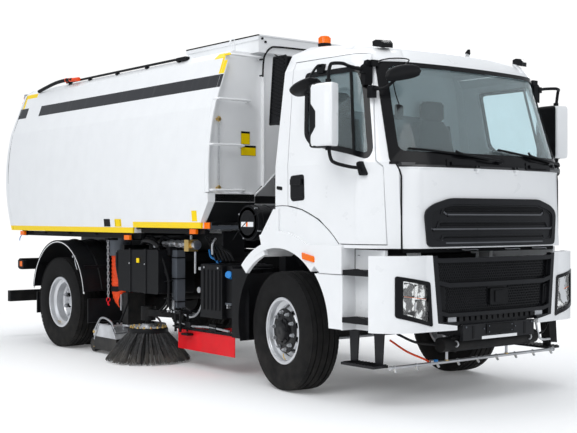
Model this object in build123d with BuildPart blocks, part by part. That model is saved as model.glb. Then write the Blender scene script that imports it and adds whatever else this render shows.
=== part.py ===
"""Street sweeper truck: cab-over chassis with a tipping vacuum hopper, side brush and suction nozzle.

Millimetres.  +X is the truck's left, -Y its front, +Z up.  The origin is on the ground under the
middle of the whole truck.  Stations along the truck are written from the front axle: every helper
adds YO, which brings them to the origin.
"""
import os
from math import cos, radians, sin

from build123d import *

os.makedirs("parts", exist_ok=True)

# ---------------------------------------------------------------- driving dimensions
YO = -2140.0            # front axle's place along Y
WHEELBASE = 4253.0
TYRE_R = 535.0
RIM_R = 300.0
SEAT_R = 286.0
FRONT_TYRE_W = 315.0
FRONT_X = 1022.5        # middle of a front tyre
REAR_TYRE_W = 295.0
REAR_OUT_X = 1092.5     # middle of an outer twin tyre
REAR_IN_X = 752.5
KING_X = 850.0          # steering pin
STEER = -8.0            # the front wheels stand turned to the right, degrees
RAIL_X = 425.0
RAIL_Z0 = 720.0
RAIL_Z1 = 1000.0
SUB_Z = 1180.0          # top of the sweeper's own frame
FRAME_END = 5350.0
PIVOT_Y = -1330.0       # cab tilt pin
PIVOT_Z = 760.0
WALL = 45.0             # cab wall and door
CAB_Z0 = 1300.0
LID_X = 250.0            # hinges of the front panel
LID_Y = -1465.0
LID_Z = 1962.0
TIP_Y = 5300.0          # hopper tip pin
TIP_Z = 1100.0
GATE_Y = 5600.0         # tailgate hinge
GATE_Z = 3215.0
RAM_X = 220.0           # the two tipping rams
LOW_EYE = (4700.0, 900.0)
HIGH_EYE = (3700.0, 1300.0)
HOP_Y0 = 1030.0
HOP_Z0 = 1382.0
HOP_W = 1250.0
HOP_T = 40.0
ARCH_Z = 600.0          # centre of the wheel arches
BRUSH_X = -1040.0
BRUSH_Y = 2520.0
BRUSH_R = 465.0
POST_X = -950.0
POST_Y = 2060.0
HOSE_X = -900.0
HOSE_Y = 3360.0
HOSE_R = 105.0
FIT = 0.5               # radial play of a pin in its hole

RAM_LEN = ((LOW_EYE[0] - HIGH_EYE[0]) ** 2 + (LOW_EYE[1] - HIGH_EYE[1]) ** 2) ** 0.5
RAM_UY = (HIGH_EYE[0] - LOW_EYE[0]) / RAM_LEN
RAM_UZ = (HIGH_EYE[1] - LOW_EYE[1]) / RAM_LEN


# ---------------------------------------------------------------- helpers
def box(x0, x1, y0, y1, z0, z1, mode=Mode.ADD):
    with Locations(((x0 + x1) / 2, (y0 + y1) / 2 + YO, (z0 + z1) / 2)):
        Box(x1 - x0, y1 - y0, z1 - z0, mode=mode)


def boxes(x0, x1, y0, y1, z0, z1, mode=Mode.ADD):
    """The same box on both sides."""
    box(x0, x1, y0, y1, z0, z1, mode)
    box(-x1, -x0, y0, y1, z0, z1, mode)


def rod(p, q, r, mode=Mode.ADD):
    a = Vector(p[0], p[1] + YO, p[2])
    b = Vector(q[0], q[1] + YO, q[2])
    with Locations(Plane(origin=a, z_dir=b - a)):
        Cylinder(r, (b - a).length, align=(Align.CENTER, Align.CENTER, Align.MIN), mode=mode)


def side_plane(x):
    return Plane(origin=(x, YO, 0), x_dir=(0, 1, 0), z_dir=(1, 0, 0))


def side_plate(pts, x0, x1, r=0.0, mode=Mode.ADD):
    """A plate with its outline given as (y, z), from x0 to x1."""
    with BuildSketch(side_plane(x0)) as s:
        with BuildLine():
            Polyline(*pts, close=True)
        make_face()
        if r:
            fillet(s.vertices(), r)
    extrude(s.sketch, amount=x1 - x0, mode=mode)


def plan_plate(pts, z0, z1, r=0.0, mode=Mode.ADD):
    """A plate with its outline given as (x, y), from z0 to z1."""
    with BuildSketch(Plane(origin=(0, YO, z0))) as s:
        with BuildLine():
            Polyline(*pts, close=True)
        make_face()
        if r:
            fillet(s.vertices(), r)
    extrude(s.sketch, amount=z1 - z0, mode=mode)


def front_plate(pts, y0, y1, r=0.0, mode=Mode.ADD):
    """A plate with its outline given as (x, z), from y0 to y1."""
    with BuildSketch(Plane(origin=(0, y1 + YO, 0), x_dir=(1, 0, 0), z_dir=(0, -1, 0))) as s:
        with BuildLine():
            Polyline(*pts, close=True)
        make_face()
        if r:
            fillet(s.vertices(), r)
    extrude(s.sketch, amount=y1 - y0, mode=mode)


def arc_band(yc, zc, r0, r1, a0, a1, x0, x1, mode=Mode.ADD):
    """A curved band about an X line; angles from the rear over the top."""
    def at(r, a):
        return (yc + r * cos(radians(a)), zc + r * sin(radians(a)))
    am = (a0 + a1) / 2
    with BuildSketch(side_plane(x0)) as s:
        with BuildLine():
            ThreePointArc(at(r0, a0), at(r0, am), at(r0, a1))
            Line(at(r0, a1), at(r1, a1))
            ThreePointArc(at(r1, a1), at(r1, am), at(r1, a0))
            Line(at(r1, a0), at(r0, a0))
        make_face()
    extrude(s.sketch, amount=x1 - x0, mode=mode)


def tube(pts, r, bend, mode=Mode.ADD):
    with BuildLine() as w:
        FilletPolyline(*[(p[0], p[1] + YO, p[2]) for p in pts], radius=bend)
    with BuildSketch(Plane(origin=w.line @ 0, z_dir=w.line % 0)) as s:
        Circle(r)
    sweep(s.sketch, path=w.line, mode=mode)


def ring(x_mid, y, z, pts, flip=1, mode=Mode.ADD):
    """A turned body about an X line; its outline is (along the axle, radius)."""
    with BuildSketch(Plane(origin=(x_mid, y + YO, z), x_dir=(1, 0, 0), z_dir=(0, -1, 0))) as s:
        with BuildLine():
            Polyline(*[(u * flip, v) for u, v in pts], close=True)
        make_face()
    revolve(s.sketch, axis=Axis((x_mid, y + YO, z), (1, 0, 0)), mode=mode)


def steered(side):
    """The place of what turns with a front wheel."""
    pin = Location((side * KING_X, YO, 0))
    return pin * Location((0, 0, 0), (0, 0, STEER)) * pin.inverse()


# ---------------------------------------------------------------- chassis
SPRINGS = [
    # axle station, height of the pad's top, half length, camber
    (0.0, 560.0, 800.0, 70.0),
    (WHEELBASE, 625.0, 780.0, 24.0),
]


def leaf_pack(y, z, half, camber, x0, x1):
    for n, part in enumerate((1.0, 0.8, 0.6)):
        h = half * part
        rise = camber * part * part
        lift = z + 44 - 14 * n
        with BuildSketch(side_plane(x0)) as s:
            with BuildLine():
                ThreePointArc((y - h, lift + rise), (y, lift), (y + h, lift + rise))
                Line((y + h, lift + rise), (y + h, lift + rise + 16))
                ThreePointArc((y + h, lift + rise + 16), (y, lift + 16), (y - h, lift + rise + 16))
                Line((y - h, lift + rise + 16), (y - h, lift + rise))
            make_face()
        extrude(s.sketch, amount=x1 - x0)


with BuildPart() as chassis_frame:
    boxes(RAIL_X - 8, RAIL_X, -1400, FRAME_END, RAIL_Z0, RAIL_Z1)
    boxes(RAIL_X - 80, RAIL_X, -1150, FRAME_END, RAIL_Z0, RAIL_Z0 + 8)
    boxes(RAIL_X - 80, RAIL_X, -1150, FRAME_END, RAIL_Z1 - 8, RAIL_Z1)
    for y, z0, z1 in ((-1120, 722, 800), (1150, 760, 920), (1900, 760, 920), (2700, 760, 920),
                      (3560, 760, 920), (4950, 800, 960), (5310, 722, 990)):
        box(-RAIL_X + 8, RAIL_X - 8, y - 40, y + 40, z0, z1)
    boxes(355, RAIL_X, 1300, 5380, RAIL_Z1, SUB_Z)
    for y in (1340, 2500, 3350):
        box(-355, 355, y - 40, y + 40, 1040, 1150)
    for side in (-1, 1):
        rod((side * (RAIL_X - 8), PIVOT_Y, PIVOT_Z), (side * 500, PIVOT_Y, PIVOT_Z), 20)
        rod((side * 355, TIP_Y, TIP_Z), (side * 312, TIP_Y, TIP_Z), 25)
    rod((-RAIL_X + 8, LOW_EYE[0], LOW_EYE[1]), (RAIL_X - 8, LOW_EYE[0], LOW_EYE[1]), 25)
    for x in (-80, 80):
        for z in (800, 900):
            rod((x, 5260, z), (x, 5360, z), 10.5, mode=Mode.SUBTRACT)
    box(POST_X + 50.3, -RAIL_X, POST_Y - 45, POST_Y + 45, 1090, 1170)
    box(-1020, -RAIL_X, HOSE_Y - 170, HOSE_Y - HOSE_R - 22.3, 1110, 1175)
chassis_frame.part.label = "chassis_frame"
export_step(chassis_frame.part, "parts/chassis_frame.step")

with BuildPart() as engine:
    box(-320, 320, -880, 330, 735, 1262)
    box(-170, 170, 330, 1090, 640, 1050)
    box(-250, 250, -1000, -880, 740, 1230)
engine.part.label = "engine"
export_step(engine.part, "parts/engine.step")

with BuildPart() as axles:
    for y, z, half, camber in SPRINGS:
        for side in (-1, 1):
            x0 = side * 385 - 40
            leaf_pack(y, z, half, camber, x0, x0 + 80)
            for end in (-1, 1):
                ye = y + end * (half - 20)
                zs = z + 44 + camber
                box(x0, x0 + 80, ye - 22, ye + 22, zs - 6, RAIL_Z0 - 0.3)
            box(x0, x0 + 80, y - 70, y + 70, z, z + 64)
    box(-700, 700, -45, 45, 450, 540)
    boxes(345, RAIL_X, -75, 75, 540, 560)
    boxes(690, KING_X, -40, 40, 490, 566)
    for side in (-1, 1):
        rod((side * KING_X, 0, 488), (side * KING_X, 0, 572), 46)
    for side in (-1, 1):
        rod((side * KING_X, 0, 480), (side * KING_X, 0, 580), 20 + FIT, mode=Mode.SUBTRACT)
    rod((-640, WHEELBASE, TYRE_R), (640, WHEELBASE, TYRE_R), 75)
    with Locations((40, WHEELBASE + YO, TYRE_R)):
        Sphere(215)
    boxes(345, RAIL_X, WHEELBASE - 75, WHEELBASE + 75, 545, 625)
    for side in (-1, 1):
        ring(side * 700, WHEELBASE, TYRE_R, [(-62, 0), (-62, 195), (70, 195), (70, 70), (315, 70), (315, 0)], side)
    rod((0, 1091, 700), (0, 2500, 680), 45)
    rod((0, 2480, 680), (40, WHEELBASE - 190, 560), 45)
    box(-60, 60, 2470, 2530, 620, 780)
    box(-RAIL_X + 8.3, RAIL_X - 8.3, 2470, 2530, 762, 780)
axles.part.label = "axles"
export_step(axles.part, "parts/axles.step")

# ---------------------------------------------------------------- wheels
TYRE = [(0.70, 286.3), (0.70, 301), (0.93, 325), (1.0, 395), (0.99, 445), (0.9, 505), (0.8, 528), (0.68, TYRE_R)]


def tyre_outline(width):
    half = width / 2
    right = [(u * half, v) for u, v in TYRE]
    left = [(-u, v) for u, v in reversed(right)]
    return right + left


def barrel_outline(half):
    outer = [(-half, RIM_R), (-half + 14, RIM_R), (-half + 14, SEAT_R), (-70, SEAT_R - 3), (-50, 246),
             (50, 246), (70, SEAT_R - 3), (half - 14, SEAT_R), (half - 14, RIM_R), (half, RIM_R)]
    inner = [(half, 274), (70, 270), (50, 234), (-50, 234), (-70, 270), (-half, 274)]
    return outer + inner


def hand_holes(x0, x1, y, r_at):
    for n in range(10):
        a = radians(36 * n + 18)
        p = (x0, y + r_at * cos(a), TYRE_R + r_at * sin(a))
        rod(p, (x1, p[1], p[2]), 27, mode=Mode.SUBTRACT)


def front_rim(side):
    ring(side * FRONT_X, 0, TYRE_R, barrel_outline(125), side)
    disc = [(40, 236), (92, 205), (108, 175), (108, 60), (94, 60), (94, 170), (80, 198), (26, 236)]
    ring(side * FRONT_X, 0, TYRE_R, disc, side)
    hub = [(40, 50 + FIT), (40, 112), (128, 112), (128, 84), (150, 78), (152, 0), (110, 0), (110, 50 + FIT)]
    ring(side * FRONT_X, 0, TYRE_R, hub, side)
    hand_holes(side * (FRONT_X + 20), side * (FRONT_X + 130), 0, 203)


def rear_rim(side):
    ring(side * REAR_OUT_X, WHEELBASE, TYRE_R, barrel_outline(118), side)
    ring(side * REAR_IN_X, WHEELBASE, TYRE_R, barrel_outline(118), side)
    mid = side * 922.5
    disc = [(140, 238), (118, 222), (70, 205), (14, 182), (14, 84), (0, 84), (0, 192), (66, 216), (108, 238), (118, 241)]
    ring(mid, WHEELBASE, TYRE_R, disc, side)
    ring(mid, WHEELBASE, TYRE_R, disc, -side)
    hub = [(-66, 70 + FIT), (-66, 86), (120, 86), (120, 66), (150, 60), (150, 0), (100, 0), (100, 70 + FIT)]
    ring(mid, WHEELBASE, TYRE_R, hub, side)
    hand_holes(side * 790, side * 1055, WHEELBASE, 205)


def turned(part, side):
    with Locations(steered(side)):
        add(part)


with BuildPart() as tyre_straight_left:
    ring(FRONT_X, 0, TYRE_R, tyre_outline(FRONT_TYRE_W))
with BuildPart() as tyre_front_left:
    turned(tyre_straight_left.part, 1)
tyre_front_left.part.label = "tyre_front_left"
export_step(tyre_front_left.part, "parts/tyre_front_left.step")

with BuildPart() as tyre_straight_right:
    ring(-FRONT_X, 0, TYRE_R, tyre_outline(FRONT_TYRE_W))
with BuildPart() as tyre_front_right:
    turned(tyre_straight_right.part, -1)
tyre_front_right.part.label = "tyre_front_right"
export_step(tyre_front_right.part, "parts/tyre_front_right.step")

with BuildPart() as rim_straight_left:
    front_rim(1)
with BuildPart() as rim_front_left:
    turned(rim_straight_left.part, 1)
rim_front_left.part.label = "rim_front_left"
export_step(rim_front_left.part, "parts/rim_front_left.step")

with BuildPart() as rim_straight_right:
    front_rim(-1)
with BuildPart() as rim_front_right:
    turned(rim_straight_right.part, -1)
rim_front_right.part.label = "rim_front_right"
export_step(rim_front_right.part, "parts/rim_front_right.step")

with BuildPart() as tyres_rear_left:
    ring(REAR_OUT_X, WHEELBASE, TYRE_R, tyre_outline(REAR_TYRE_W))
    ring(REAR_IN_X, WHEELBASE, TYRE_R, tyre_outline(REAR_TYRE_W))
tyres_rear_left.part.label = "tyres_rear_left"
export_step(tyres_rear_left.part, "parts/tyres_rear_left.step")

with BuildPart() as tyres_rear_right:
    ring(-REAR_OUT_X, WHEELBASE, TYRE_R, tyre_outline(REAR_TYRE_W))
    ring(-REAR_IN_X, WHEELBASE, TYRE_R, tyre_outline(REAR_TYRE_W))
tyres_rear_right.part.label = "tyres_rear_right"
export_step(tyres_rear_right.part, "parts/tyres_rear_right.step")

with BuildPart() as rims_rear_left:
    rear_rim(1)
rims_rear_left.part.label = "rims_rear_left"
export_step(rims_rear_left.part, "parts/rims_rear_left.step")

with BuildPart() as rims_rear_right:
    rear_rim(-1)
rims_rear_right.part.label = "rims_rear_right"
export_step(rims_rear_right.part, "parts/rims_rear_right.step")


def knuckle(side):
    """Yoke round the pin, stub axle, drum and steering arm, as they stand straight ahead."""
    k = side * KING_X
    rod((k, 0, 430), (k, 0, 640), 20)
    box(min(k - 50, k + side * 90), max(k + 50, k + side * 90), -50, 50, 430, 480)
    box(min(k - 50, k + side * 90), max(k + 50, k + side * 90), -50, 50, 580, 630)
    xa, xb = sorted((side * (KING_X + 52), side * (KING_X + 90)))
    box(xa, xb, -60, 60, 430, 630)
    ring(side * 960, 0, TYRE_R, [(-22, 0), (-22, 190), (40, 190), (40, 50), (150, 50), (150, 0)], side)
    xa, xb = sorted((side * (KING_X - 30), side * (KING_X + 30)))
    box(xa, xb, 40, 250, 440, 470)


with BuildPart() as knuckle_straight_left:
    knuckle(1)
    rod((KING_X, 225, 430), (KING_X, 225, 480), 14 + FIT, mode=Mode.SUBTRACT)
with BuildPart() as knuckle_left:
    turned(knuckle_straight_left.part, 1)
knuckle_left.part.label = "knuckle_left"
export_step(knuckle_left.part, "parts/knuckle_left.step")

with BuildPart() as knuckle_straight_right:
    knuckle(-1)
    rod((-KING_X, 225, 430), (-KING_X, 225, 480), 14 + FIT, mode=Mode.SUBTRACT)
with BuildPart() as knuckle_right:
    turned(knuckle_straight_right.part, -1)
knuckle_right.part.label = "knuckle_right"
export_step(knuckle_right.part, "parts/knuckle_right.step")

ARM_DX = -225 * sin(radians(STEER))
ARM_Y = 225 * cos(radians(STEER))
with BuildPart() as tie_rod:
    rod((-KING_X + ARM_DX, ARM_Y, 400), (KING_X + ARM_DX, ARM_Y, 400), 17)
    for side in (-1, 1):
        x = side * KING_X + ARM_DX
        rod((x, ARM_Y, 378), (x, ARM_Y, 424), 28)
        rod((x, ARM_Y, 400), (x, ARM_Y, 476), 14)
tie_rod.part.label = "tie_rod"
export_step(tie_rod.part, "parts/tie_rod.step")

# ---------------------------------------------------------------- front end on the chassis
BUMPER_PLAN = [
    # side x, side y, corner x, corner y, front x, front y, middle y
    (1250.0, -1200.0, 1160.0, -1345.0, 850.0, -1450.0, -1508.0),
    (1205.0, -1200.0, 1125.0, -1310.0, 830.0, -1405.0, -1460.0),
]


def bumper_outline(row):
    xs, ys, xc, yc, xf, yf, ym = row
    ThreePointArc((xs, ys), (xc, yc), (xf, yf))
    ThreePointArc((xf, yf), (0, ym), (-xf, yf))
    ThreePointArc((-xf, yf), (-xc, yc), (-xs, ys))


def bumper_band(z0, z1, outer=BUMPER_PLAN[0], inner=BUMPER_PLAN[1], mode=Mode.ADD):
    """The bowed wall of the bumper between two heights."""
    with BuildSketch(Plane(origin=(0, YO, z0))) as s:
        with BuildLine():
            bumper_outline(outer)
            Line((-outer[0], outer[1]), (-inner[0], inner[1]))
            bumper_outline(inner)
            Line((inner[0], inner[1]), (outer[0], outer[1]))
        make_face()
    extrude(s.sketch, amount=z1 - z0, mode=mode)


def inset_row(t):
    a, b = BUMPER_PLAN
    k = t / 45.0
    return tuple(u + (v - u) * k for u, v in zip(a, b))


WELL_X = 1090.0         # step well beside the bumper: back wall, rear wall, bottom
WELL_Y = -870.0
WELL_Z0 = 620.0
GRILLE_CUT = [(-788, 1300), (-726, 692), (-520, 663), (-520, 600), (520, 600), (520, 663), (726, 692), (788, 1300)]
LAMP_L = [(1090, 764), (795, 683), (820, 1021), (1090, 1073)]
LAMP_R = [(-x, z) for x, z in LAMP_L]

def well_side(x0, x1):
    """The side of the step well, between the wheel arch and its rear wall."""
    def on_arch(a):
        return (696 * cos(radians(a)), ARCH_Z + 696 * sin(radians(a)))
    with BuildSketch(side_plane(x0)) as s:
        with BuildLine():
            ThreePointArc(on_arch(137), on_arch(157), on_arch(178))
            Line(on_arch(178), (WELL_Y, on_arch(178)[1]))
            Line((WELL_Y, on_arch(178)[1]), (WELL_Y, on_arch(137)[1]))
            Line((WELL_Y, on_arch(137)[1]), on_arch(137))
        make_face()
    extrude(s.sketch, amount=x1 - x0)


with BuildPart() as bumper:
    bumper_band(627, 1244)
    front_plate(GRILLE_CUT, -1600, -1300, mode=Mode.SUBTRACT)
    front_plate(LAMP_L, -1600, -1250, 14, mode=Mode.SUBTRACT)
    front_plate(LAMP_R, -1600, -1250, 14, mode=Mode.SUBTRACT)
    boxes(WELL_X - 30, WELL_X, -1225, WELL_Y, WELL_Z0, 1285)
    boxes(WELL_X - 30, 1215, -1240, -1200, 627, 1240)
    boxes(WELL_X - 30, 1235, WELL_Y, WELL_Y + 20, WELL_Z0, 1072)
    for x0, x1 in ((1195, 1235), (-1235, -1195)):
        well_side(x0, x1)
    for x0, x1 in ((930, 1222), (-1222, -930)):
        arc_band(0, ARCH_Z, 688, 720, 138, 177, x0, x1)
    boxes(WELL_X - 30, WELL_X, WELL_Y, -700, 640, 900)
    boxes(RAIL_X + 0.3, WELL_X - 15, -1090, -1050, 740, 800)
bumper.part.label = "bumper"
export_step(bumper.part, "parts/bumper.step")

GRILLE_BARS = [
    # bottom, top, half the straight length, half length, how far the ends rise
    (1182, 1218, 690, 784, 12),
    (979, 1015, 600, 762, 34),
    (736, 768, 600, 740, 30),
]


def bar_outline(z0, z1, half, reach, rise):
    low = [(-reach, z0 + rise), (-half, z0), (half, z0), (reach, z0 + rise)]
    return low + [(reach, z1 + rise), (half, z1), (-half, z1), (-reach, z1 + rise)]


with BuildPart() as bar_wall:
    bumper_band(600, 1300, inset_row(0), inset_row(52))
with BuildPart() as bar_shapes:
    for row in GRILLE_BARS:
        front_plate(bar_outline(*row), -1600, -1200)
    for side in (-1, 1):
        front_plate([(side * x, z) for x, z in ((786, 1240), (733, 1240), (676, 700), (500, 690), (500, 665), (723, 694))],
                    -1600, -1200)
with BuildPart() as bumper_grille:
    add(bar_wall.part)
    add(bar_shapes.part, mode=Mode.INTERSECT)
    bumper_band(664, 1218, inset_row(46), inset_row(62))
    for side in (-1, 1):
        front_plate([(side * x, z) for x, z in ((520, 500), (520, 664.5), (724.5, 693.5), (786.5, 1300), (1400, 1300), (1400, 500))],
                    -1700, -1000, mode=Mode.SUBTRACT)
    box(-455, 455, -1490, -1455, 532, 664)
    for side in (-1, 1):
        xa, xb = sorted((side * 345, side * (RAIL_X - 10)))
        box(xa, xb, -1470, -1200, 560, 640)
    boxes(RAIL_X - 80, RAIL_X - 9, -1240, -1160, 560, 760)
    boxes(WELL_X + 0.3, 1238, -1199.7, WELL_Y - 8, 1076, 1116)
    boxes(WELL_X + 0.3, 1238, -1199.7, WELL_Y - 0.3, 686, 726)
    boxes(1030, 1190, -1200, -800, 330, 352)
    for x0, x1 in ((1070, 1085), (-1085, -1070)):
        for y in (-1190, -890):
            side_plate([(y - 15, WELL_Z0 - 0.3), (y + 100, WELL_Z0 - 0.3), (y + 85, 350), (y + 5, 350)], x0, x1)
    box(-450, 450, -1400, -1330, 440, 560)
bumper_grille.part.label = "bumper_grille"
export_step(bumper_grille.part, "parts/bumper_grille.step")

with BuildPart() as headlamps:
    bumper_band(600, 1200, inset_row(5), inset_row(60))
    front_plate([(1089.6, 764.3), (795.4, 683.5), (820.3, 1020.6), (1089.6, 1072.5)], -1600, -1200, 14, Mode.INTERSECT)
    mirror(about=Plane.YZ)
headlamps.part.label = "headlamps"
export_step(headlamps.part, "parts/headlamps.step")

with BuildPart() as spray_bar:
    rod((-1035, -1240, 332), (1035, -1240, 332), 14)
    for n in range(9):
        x = -1000 + 250 * n
        rod((x, -1240, 332), (x, -1262, 296), 9)
    for side in (-1, 1):
        rod((side * 385, -1240, 332), (side * 385, -1240, 560), 12)
spray_bar.part.label = "spray_bar"
export_step(spray_bar.part, "parts/spray_bar.step")

# ---------------------------------------------------------------- guards, tanks and boxes on the chassis
with BuildPart() as mudguards:
    for x0, x1 in ((590, 1250), (-1250, -590)):
        arc_band(WHEELBASE, ARCH_Z, 667, 675, 8, 172, x0, x1)
    for x0, x1 in ((1238, 1250), (-1250, -1238)):
        arc_band(WHEELBASE, ARCH_Z, 640, 675, 8, 172, x0, x1)
    for y in (WHEELBASE - 560, WHEELBASE + 560):
        boxes(RAIL_X + 0.3, 1200, y - 20, y + 20, 955, 990)
    for x0, x1 in ((800, 1180), (-1180, -800)):
        arc_band(0, ARCH_Z, 665, 673, -18, 40, x0, x1)
    boxes(1100, 1110, 600, 870, 400, 1060)
    boxes(800, 1105, 640, 870, 1050, 1060)
    boxes(RAIL_X + 0.3, 820, 780, 820, 960, 1055)
mudguards.part.label = "mudguards"
export_step(mudguards.part, "parts/mudguards.step")

with BuildPart() as fuel_tank:
    front_plate([(640, 560), (1180, 560), (1180, 1110), (640, 1110)], 1180, 2380, 90)
    for y in (1380, 2140):
        box(RAIL_X, 1186, y - 30, y + 30, 1090, 1116)
        box(RAIL_X, 1186, y - 30, y + 30, 554, 572)
        box(RAIL_X, 500, y - 30, y + 30, 554, 1116)
    rod((950, 1300, 1100), (950, 1300, 1150), 45)
fuel_tank.part.label = "fuel_tank"
export_step(fuel_tank.part, "parts/fuel_tank.step")

with BuildPart() as side_boxes:
    side_plate([(2140, 740), (2980, 740), (2980, 1190), (2140, 1210)], -1150, -700, 30)
    for y in (2380, 2700):
        side_plate([(y, 735), (y + 36, 735), (y + 36, 1203), (y, 1203)], -1157, -694, 8)
    box(-720, -RAIL_X, 2200, 2260, 1040, 1100)
    box(-720, -RAIL_X, 2860, 2920, 1040, 1100)
    side_plate([(930, 575), (1030, 575), (1030, 1080), (930, 1080)], -1060, -560, 20)
    side_plate([(1040, 570), (1410, 570), (1410, 1088), (1040, 1088)], -1105, -560, 20)
    for n in range(5):
        box(-1113, -1090, 1075 + 68 * n, 1103 + 68 * n, 640, 1030)
    box(-600, -RAIL_X, 960, 1380, 780, 900)
    rod((-1120, 915, 1000), (-1055, 945, 985), 32)
    rod((-1100, 610, 1500), (-640, 610, 1500), 165)
    rod((-1118, 610, 1500), (-1095, 610, 1500), 150)
    box(-700, -RAIL_X, 560, 660, 950, 1360)
    side_plate([(2520, 620), (3080, 620), (3080, 1060), (2520, 1060)], 640, 1160, 20)
    box(RAIL_X, 660, 2600, 3000, 780, 900)
side_boxes.part.label = "side_boxes"
export_step(side_boxes.part, "parts/side_boxes.step")

with BuildPart() as rear_bar:
    box(-1200, 1200, 5700, 5780, 450, 590)
    boxes(330, RAIL_X - 9, 5320, 5720, 500, 560)
    boxes(330, RAIL_X - 9, 5240, 5340, 500, 719.7)
    boxes(700, 1180, 5380, 5460, 880, 1020)
    boxes(RAIL_X + 0.3, 720, 5300, 5400, 900, 960)
    boxes(1160, 1205, 5300, 5460, 900, 1000)
rear_bar.part.label = "rear_bar"
export_step(rear_bar.part, "parts/rear_bar.step")

with BuildPart() as brush_post:
    box(POST_X - 50, POST_X + 50, POST_Y - 50, POST_Y + 50, 600, 1210)
    rod((POST_X, POST_Y, 600), (POST_X, POST_Y, 440), 22)
    rod((HOSE_X, HOSE_Y, 1110), (HOSE_X, HOSE_Y, 1350), HOSE_R + 22)
    rod((HOSE_X, HOSE_Y, 1100), (HOSE_X, HOSE_Y, 1360), HOSE_R + FIT, mode=Mode.SUBTRACT)
brush_post.part.label = "brush_post"
export_step(brush_post.part, "parts/brush_post.step")

with BuildPart() as flap:
    plan_plate([(-955, 1040), (-947, 1040), (-932, 2080), (-940, 2080)], 175, 390)
    box(-960, -926, 1040, 2080, 380, 410)
    box(-945, -RAIL_X, 1400, 1440, 390, 420)
    box(-RAIL_X - 40, -RAIL_X, 1400, 1440, 390, 760)
flap.part.label = "flap"
export_step(flap.part, "parts/flap.step")

# ---------------------------------------------------------------- sweeping gear
with BuildPart() as brush_arm:
    rod((POST_X, POST_Y, 470), (POST_X, POST_Y, 590), 50)
    rod((POST_X, POST_Y, 460), (POST_X, POST_Y, 600), 22 + FIT, mode=Mode.SUBTRACT)
    plan_plate([(POST_X - 40, POST_Y + 35), (POST_X + 40, POST_Y + 35), (BRUSH_X + 50, BRUSH_Y - 60),
                (BRUSH_X - 50, BRUSH_Y - 60)], 490, 560)
    rod((BRUSH_X, BRUSH_Y, 440), (BRUSH_X, BRUSH_Y, 590), 80)
    rod((BRUSH_X, BRUSH_Y, 390), (BRUSH_X, BRUSH_Y, 450), 30)
brush_arm.part.label = "brush_arm"
export_step(brush_arm.part, "parts/brush_arm.step")

with BuildPart() as side_brush:
    with BuildSketch(Plane(origin=(BRUSH_X, BRUSH_Y + YO, 0), x_dir=(1, 0, 0), z_dir=(0, -1, 0))) as s1:
        with BuildLine():
            Polyline((30 + FIT, 365), (30 + FIT, 405), (70, 405), (90, 372), (205, 360), (215, 320), (BRUSH_R, 8),
                     (BRUSH_R - 60, 8), (150, 300), (0, 300), (0, 365), close=True)
        make_face()
    revolve(axis=Axis((BRUSH_X, BRUSH_Y + YO, 0), (0, 0, 1)))
side_brush.part.label = "side_brush"
export_step(side_brush.part, "parts/side_brush.step")

with BuildPart() as nozzle:
    side_plate([(3020, 40), (3020, 200), (3120, 330), (3420, 330), (3520, 150), (3520, 40)], -1150, -450)
    side_plate([(3045, 20), (3045, 190), (3130, 305), (3410, 305), (3495, 150), (3495, 20)], -1125, -475,
               mode=Mode.SUBTRACT)
    box(-1010, -790, 3000, 3130, 325, 700)
    for x in (-1130, -500):
        box(x - 12, x + 12, 3480, 3560, 100, 260)
    for x in (-1100, -530):
        rod((x - 18, 3590, 85), (x + 18, 3590, 85), 84)
        rod((x - 50, 3590, 85), (x + 50, 3590, 85), 14)
        box(x - 50, x - 30, 3510, 3600, 70, 110)
nozzle.part.label = "nozzle"
export_step(nozzle.part, "parts/nozzle.step")

with BuildPart() as suction_hose:
    tube([(HOSE_X, HOSE_Y, 1180), (HOSE_X, HOSE_Y, 590), (HOSE_X, 3130.3, 590)], HOSE_R, 160)
suction_hose.part.label = "suction_hose"
export_step(suction_hose.part, "parts/suction_hose.step")

# ---------------------------------------------------------------- cab
CAB_ROWS = [
    # height, side x, rear y, side's front y, corner x, corner y, front x, front y, middle y
    (1300.0, 1220.0, 50.0, -1000.0, 1135.0, -1308.0, 850.0, -1415.0, -1462.0),
    (2000.0, 1220.0, 50.0, -1000.0, 1135.0, -1305.0, 850.0, -1408.0, -1455.0),
    (2850.0, 1118.0, 42.0, -880.0, 1030.0, -1060.0, 800.0, -1140.0, -1200.0),
    (3010.0, 1040.0, 30.0, -800.0, 960.0, -960.0, 740.0, -1030.0, -1080.0),
    (3085.0, 900.0, -60.0, -680.0, 830.0, -800.0, 640.0, -860.0, -900.0),
]


def cab_outline(row, t):
    z, w, yr, ys, xc, yc, xf, yf, ym = row
    w = w - t
    yr = yr - t
    xc = xc - 0.75 * t
    yc = yc + 0.65 * t
    xf = xf - 0.25 * t
    yf = yf + 0.97 * t
    ym = ym + t
    Line((-w, yr), (-w, ys))
    ThreePointArc((-w, ys), (-xc, yc), (-xf, yf))
    ThreePointArc((-xf, yf), (0, ym), (xf, yf))
    ThreePointArc((xf, yf), (xc, yc), (w, ys))
    Line((w, ys), (w, yr))
    Line((w, yr), (-w, yr))


def cab_body(t, z0, z1, mode=Mode.ADD):
    """The cab's outside drawn in by t, between two heights."""
    faces = []
    for row in CAB_ROWS:
        height = row[0] - (t if row[0] > 3000 else 0)
        with BuildSketch(Plane(origin=(0, YO, height))) as s:
            with BuildLine():
                cab_outline(row, t)
            make_face()
        faces.append(s.sketch)
    loft(faces, ruled=True, mode=mode)
    if z0 > CAB_ROWS[0][0]:
        box(-1400, 1400, -1700, 300, 1000, z0, mode=Mode.SUBTRACT)
    if z1 < 3000:
        box(-1400, 1400, -1700, 300, z1, 3300, mode=Mode.SUBTRACT)


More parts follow.
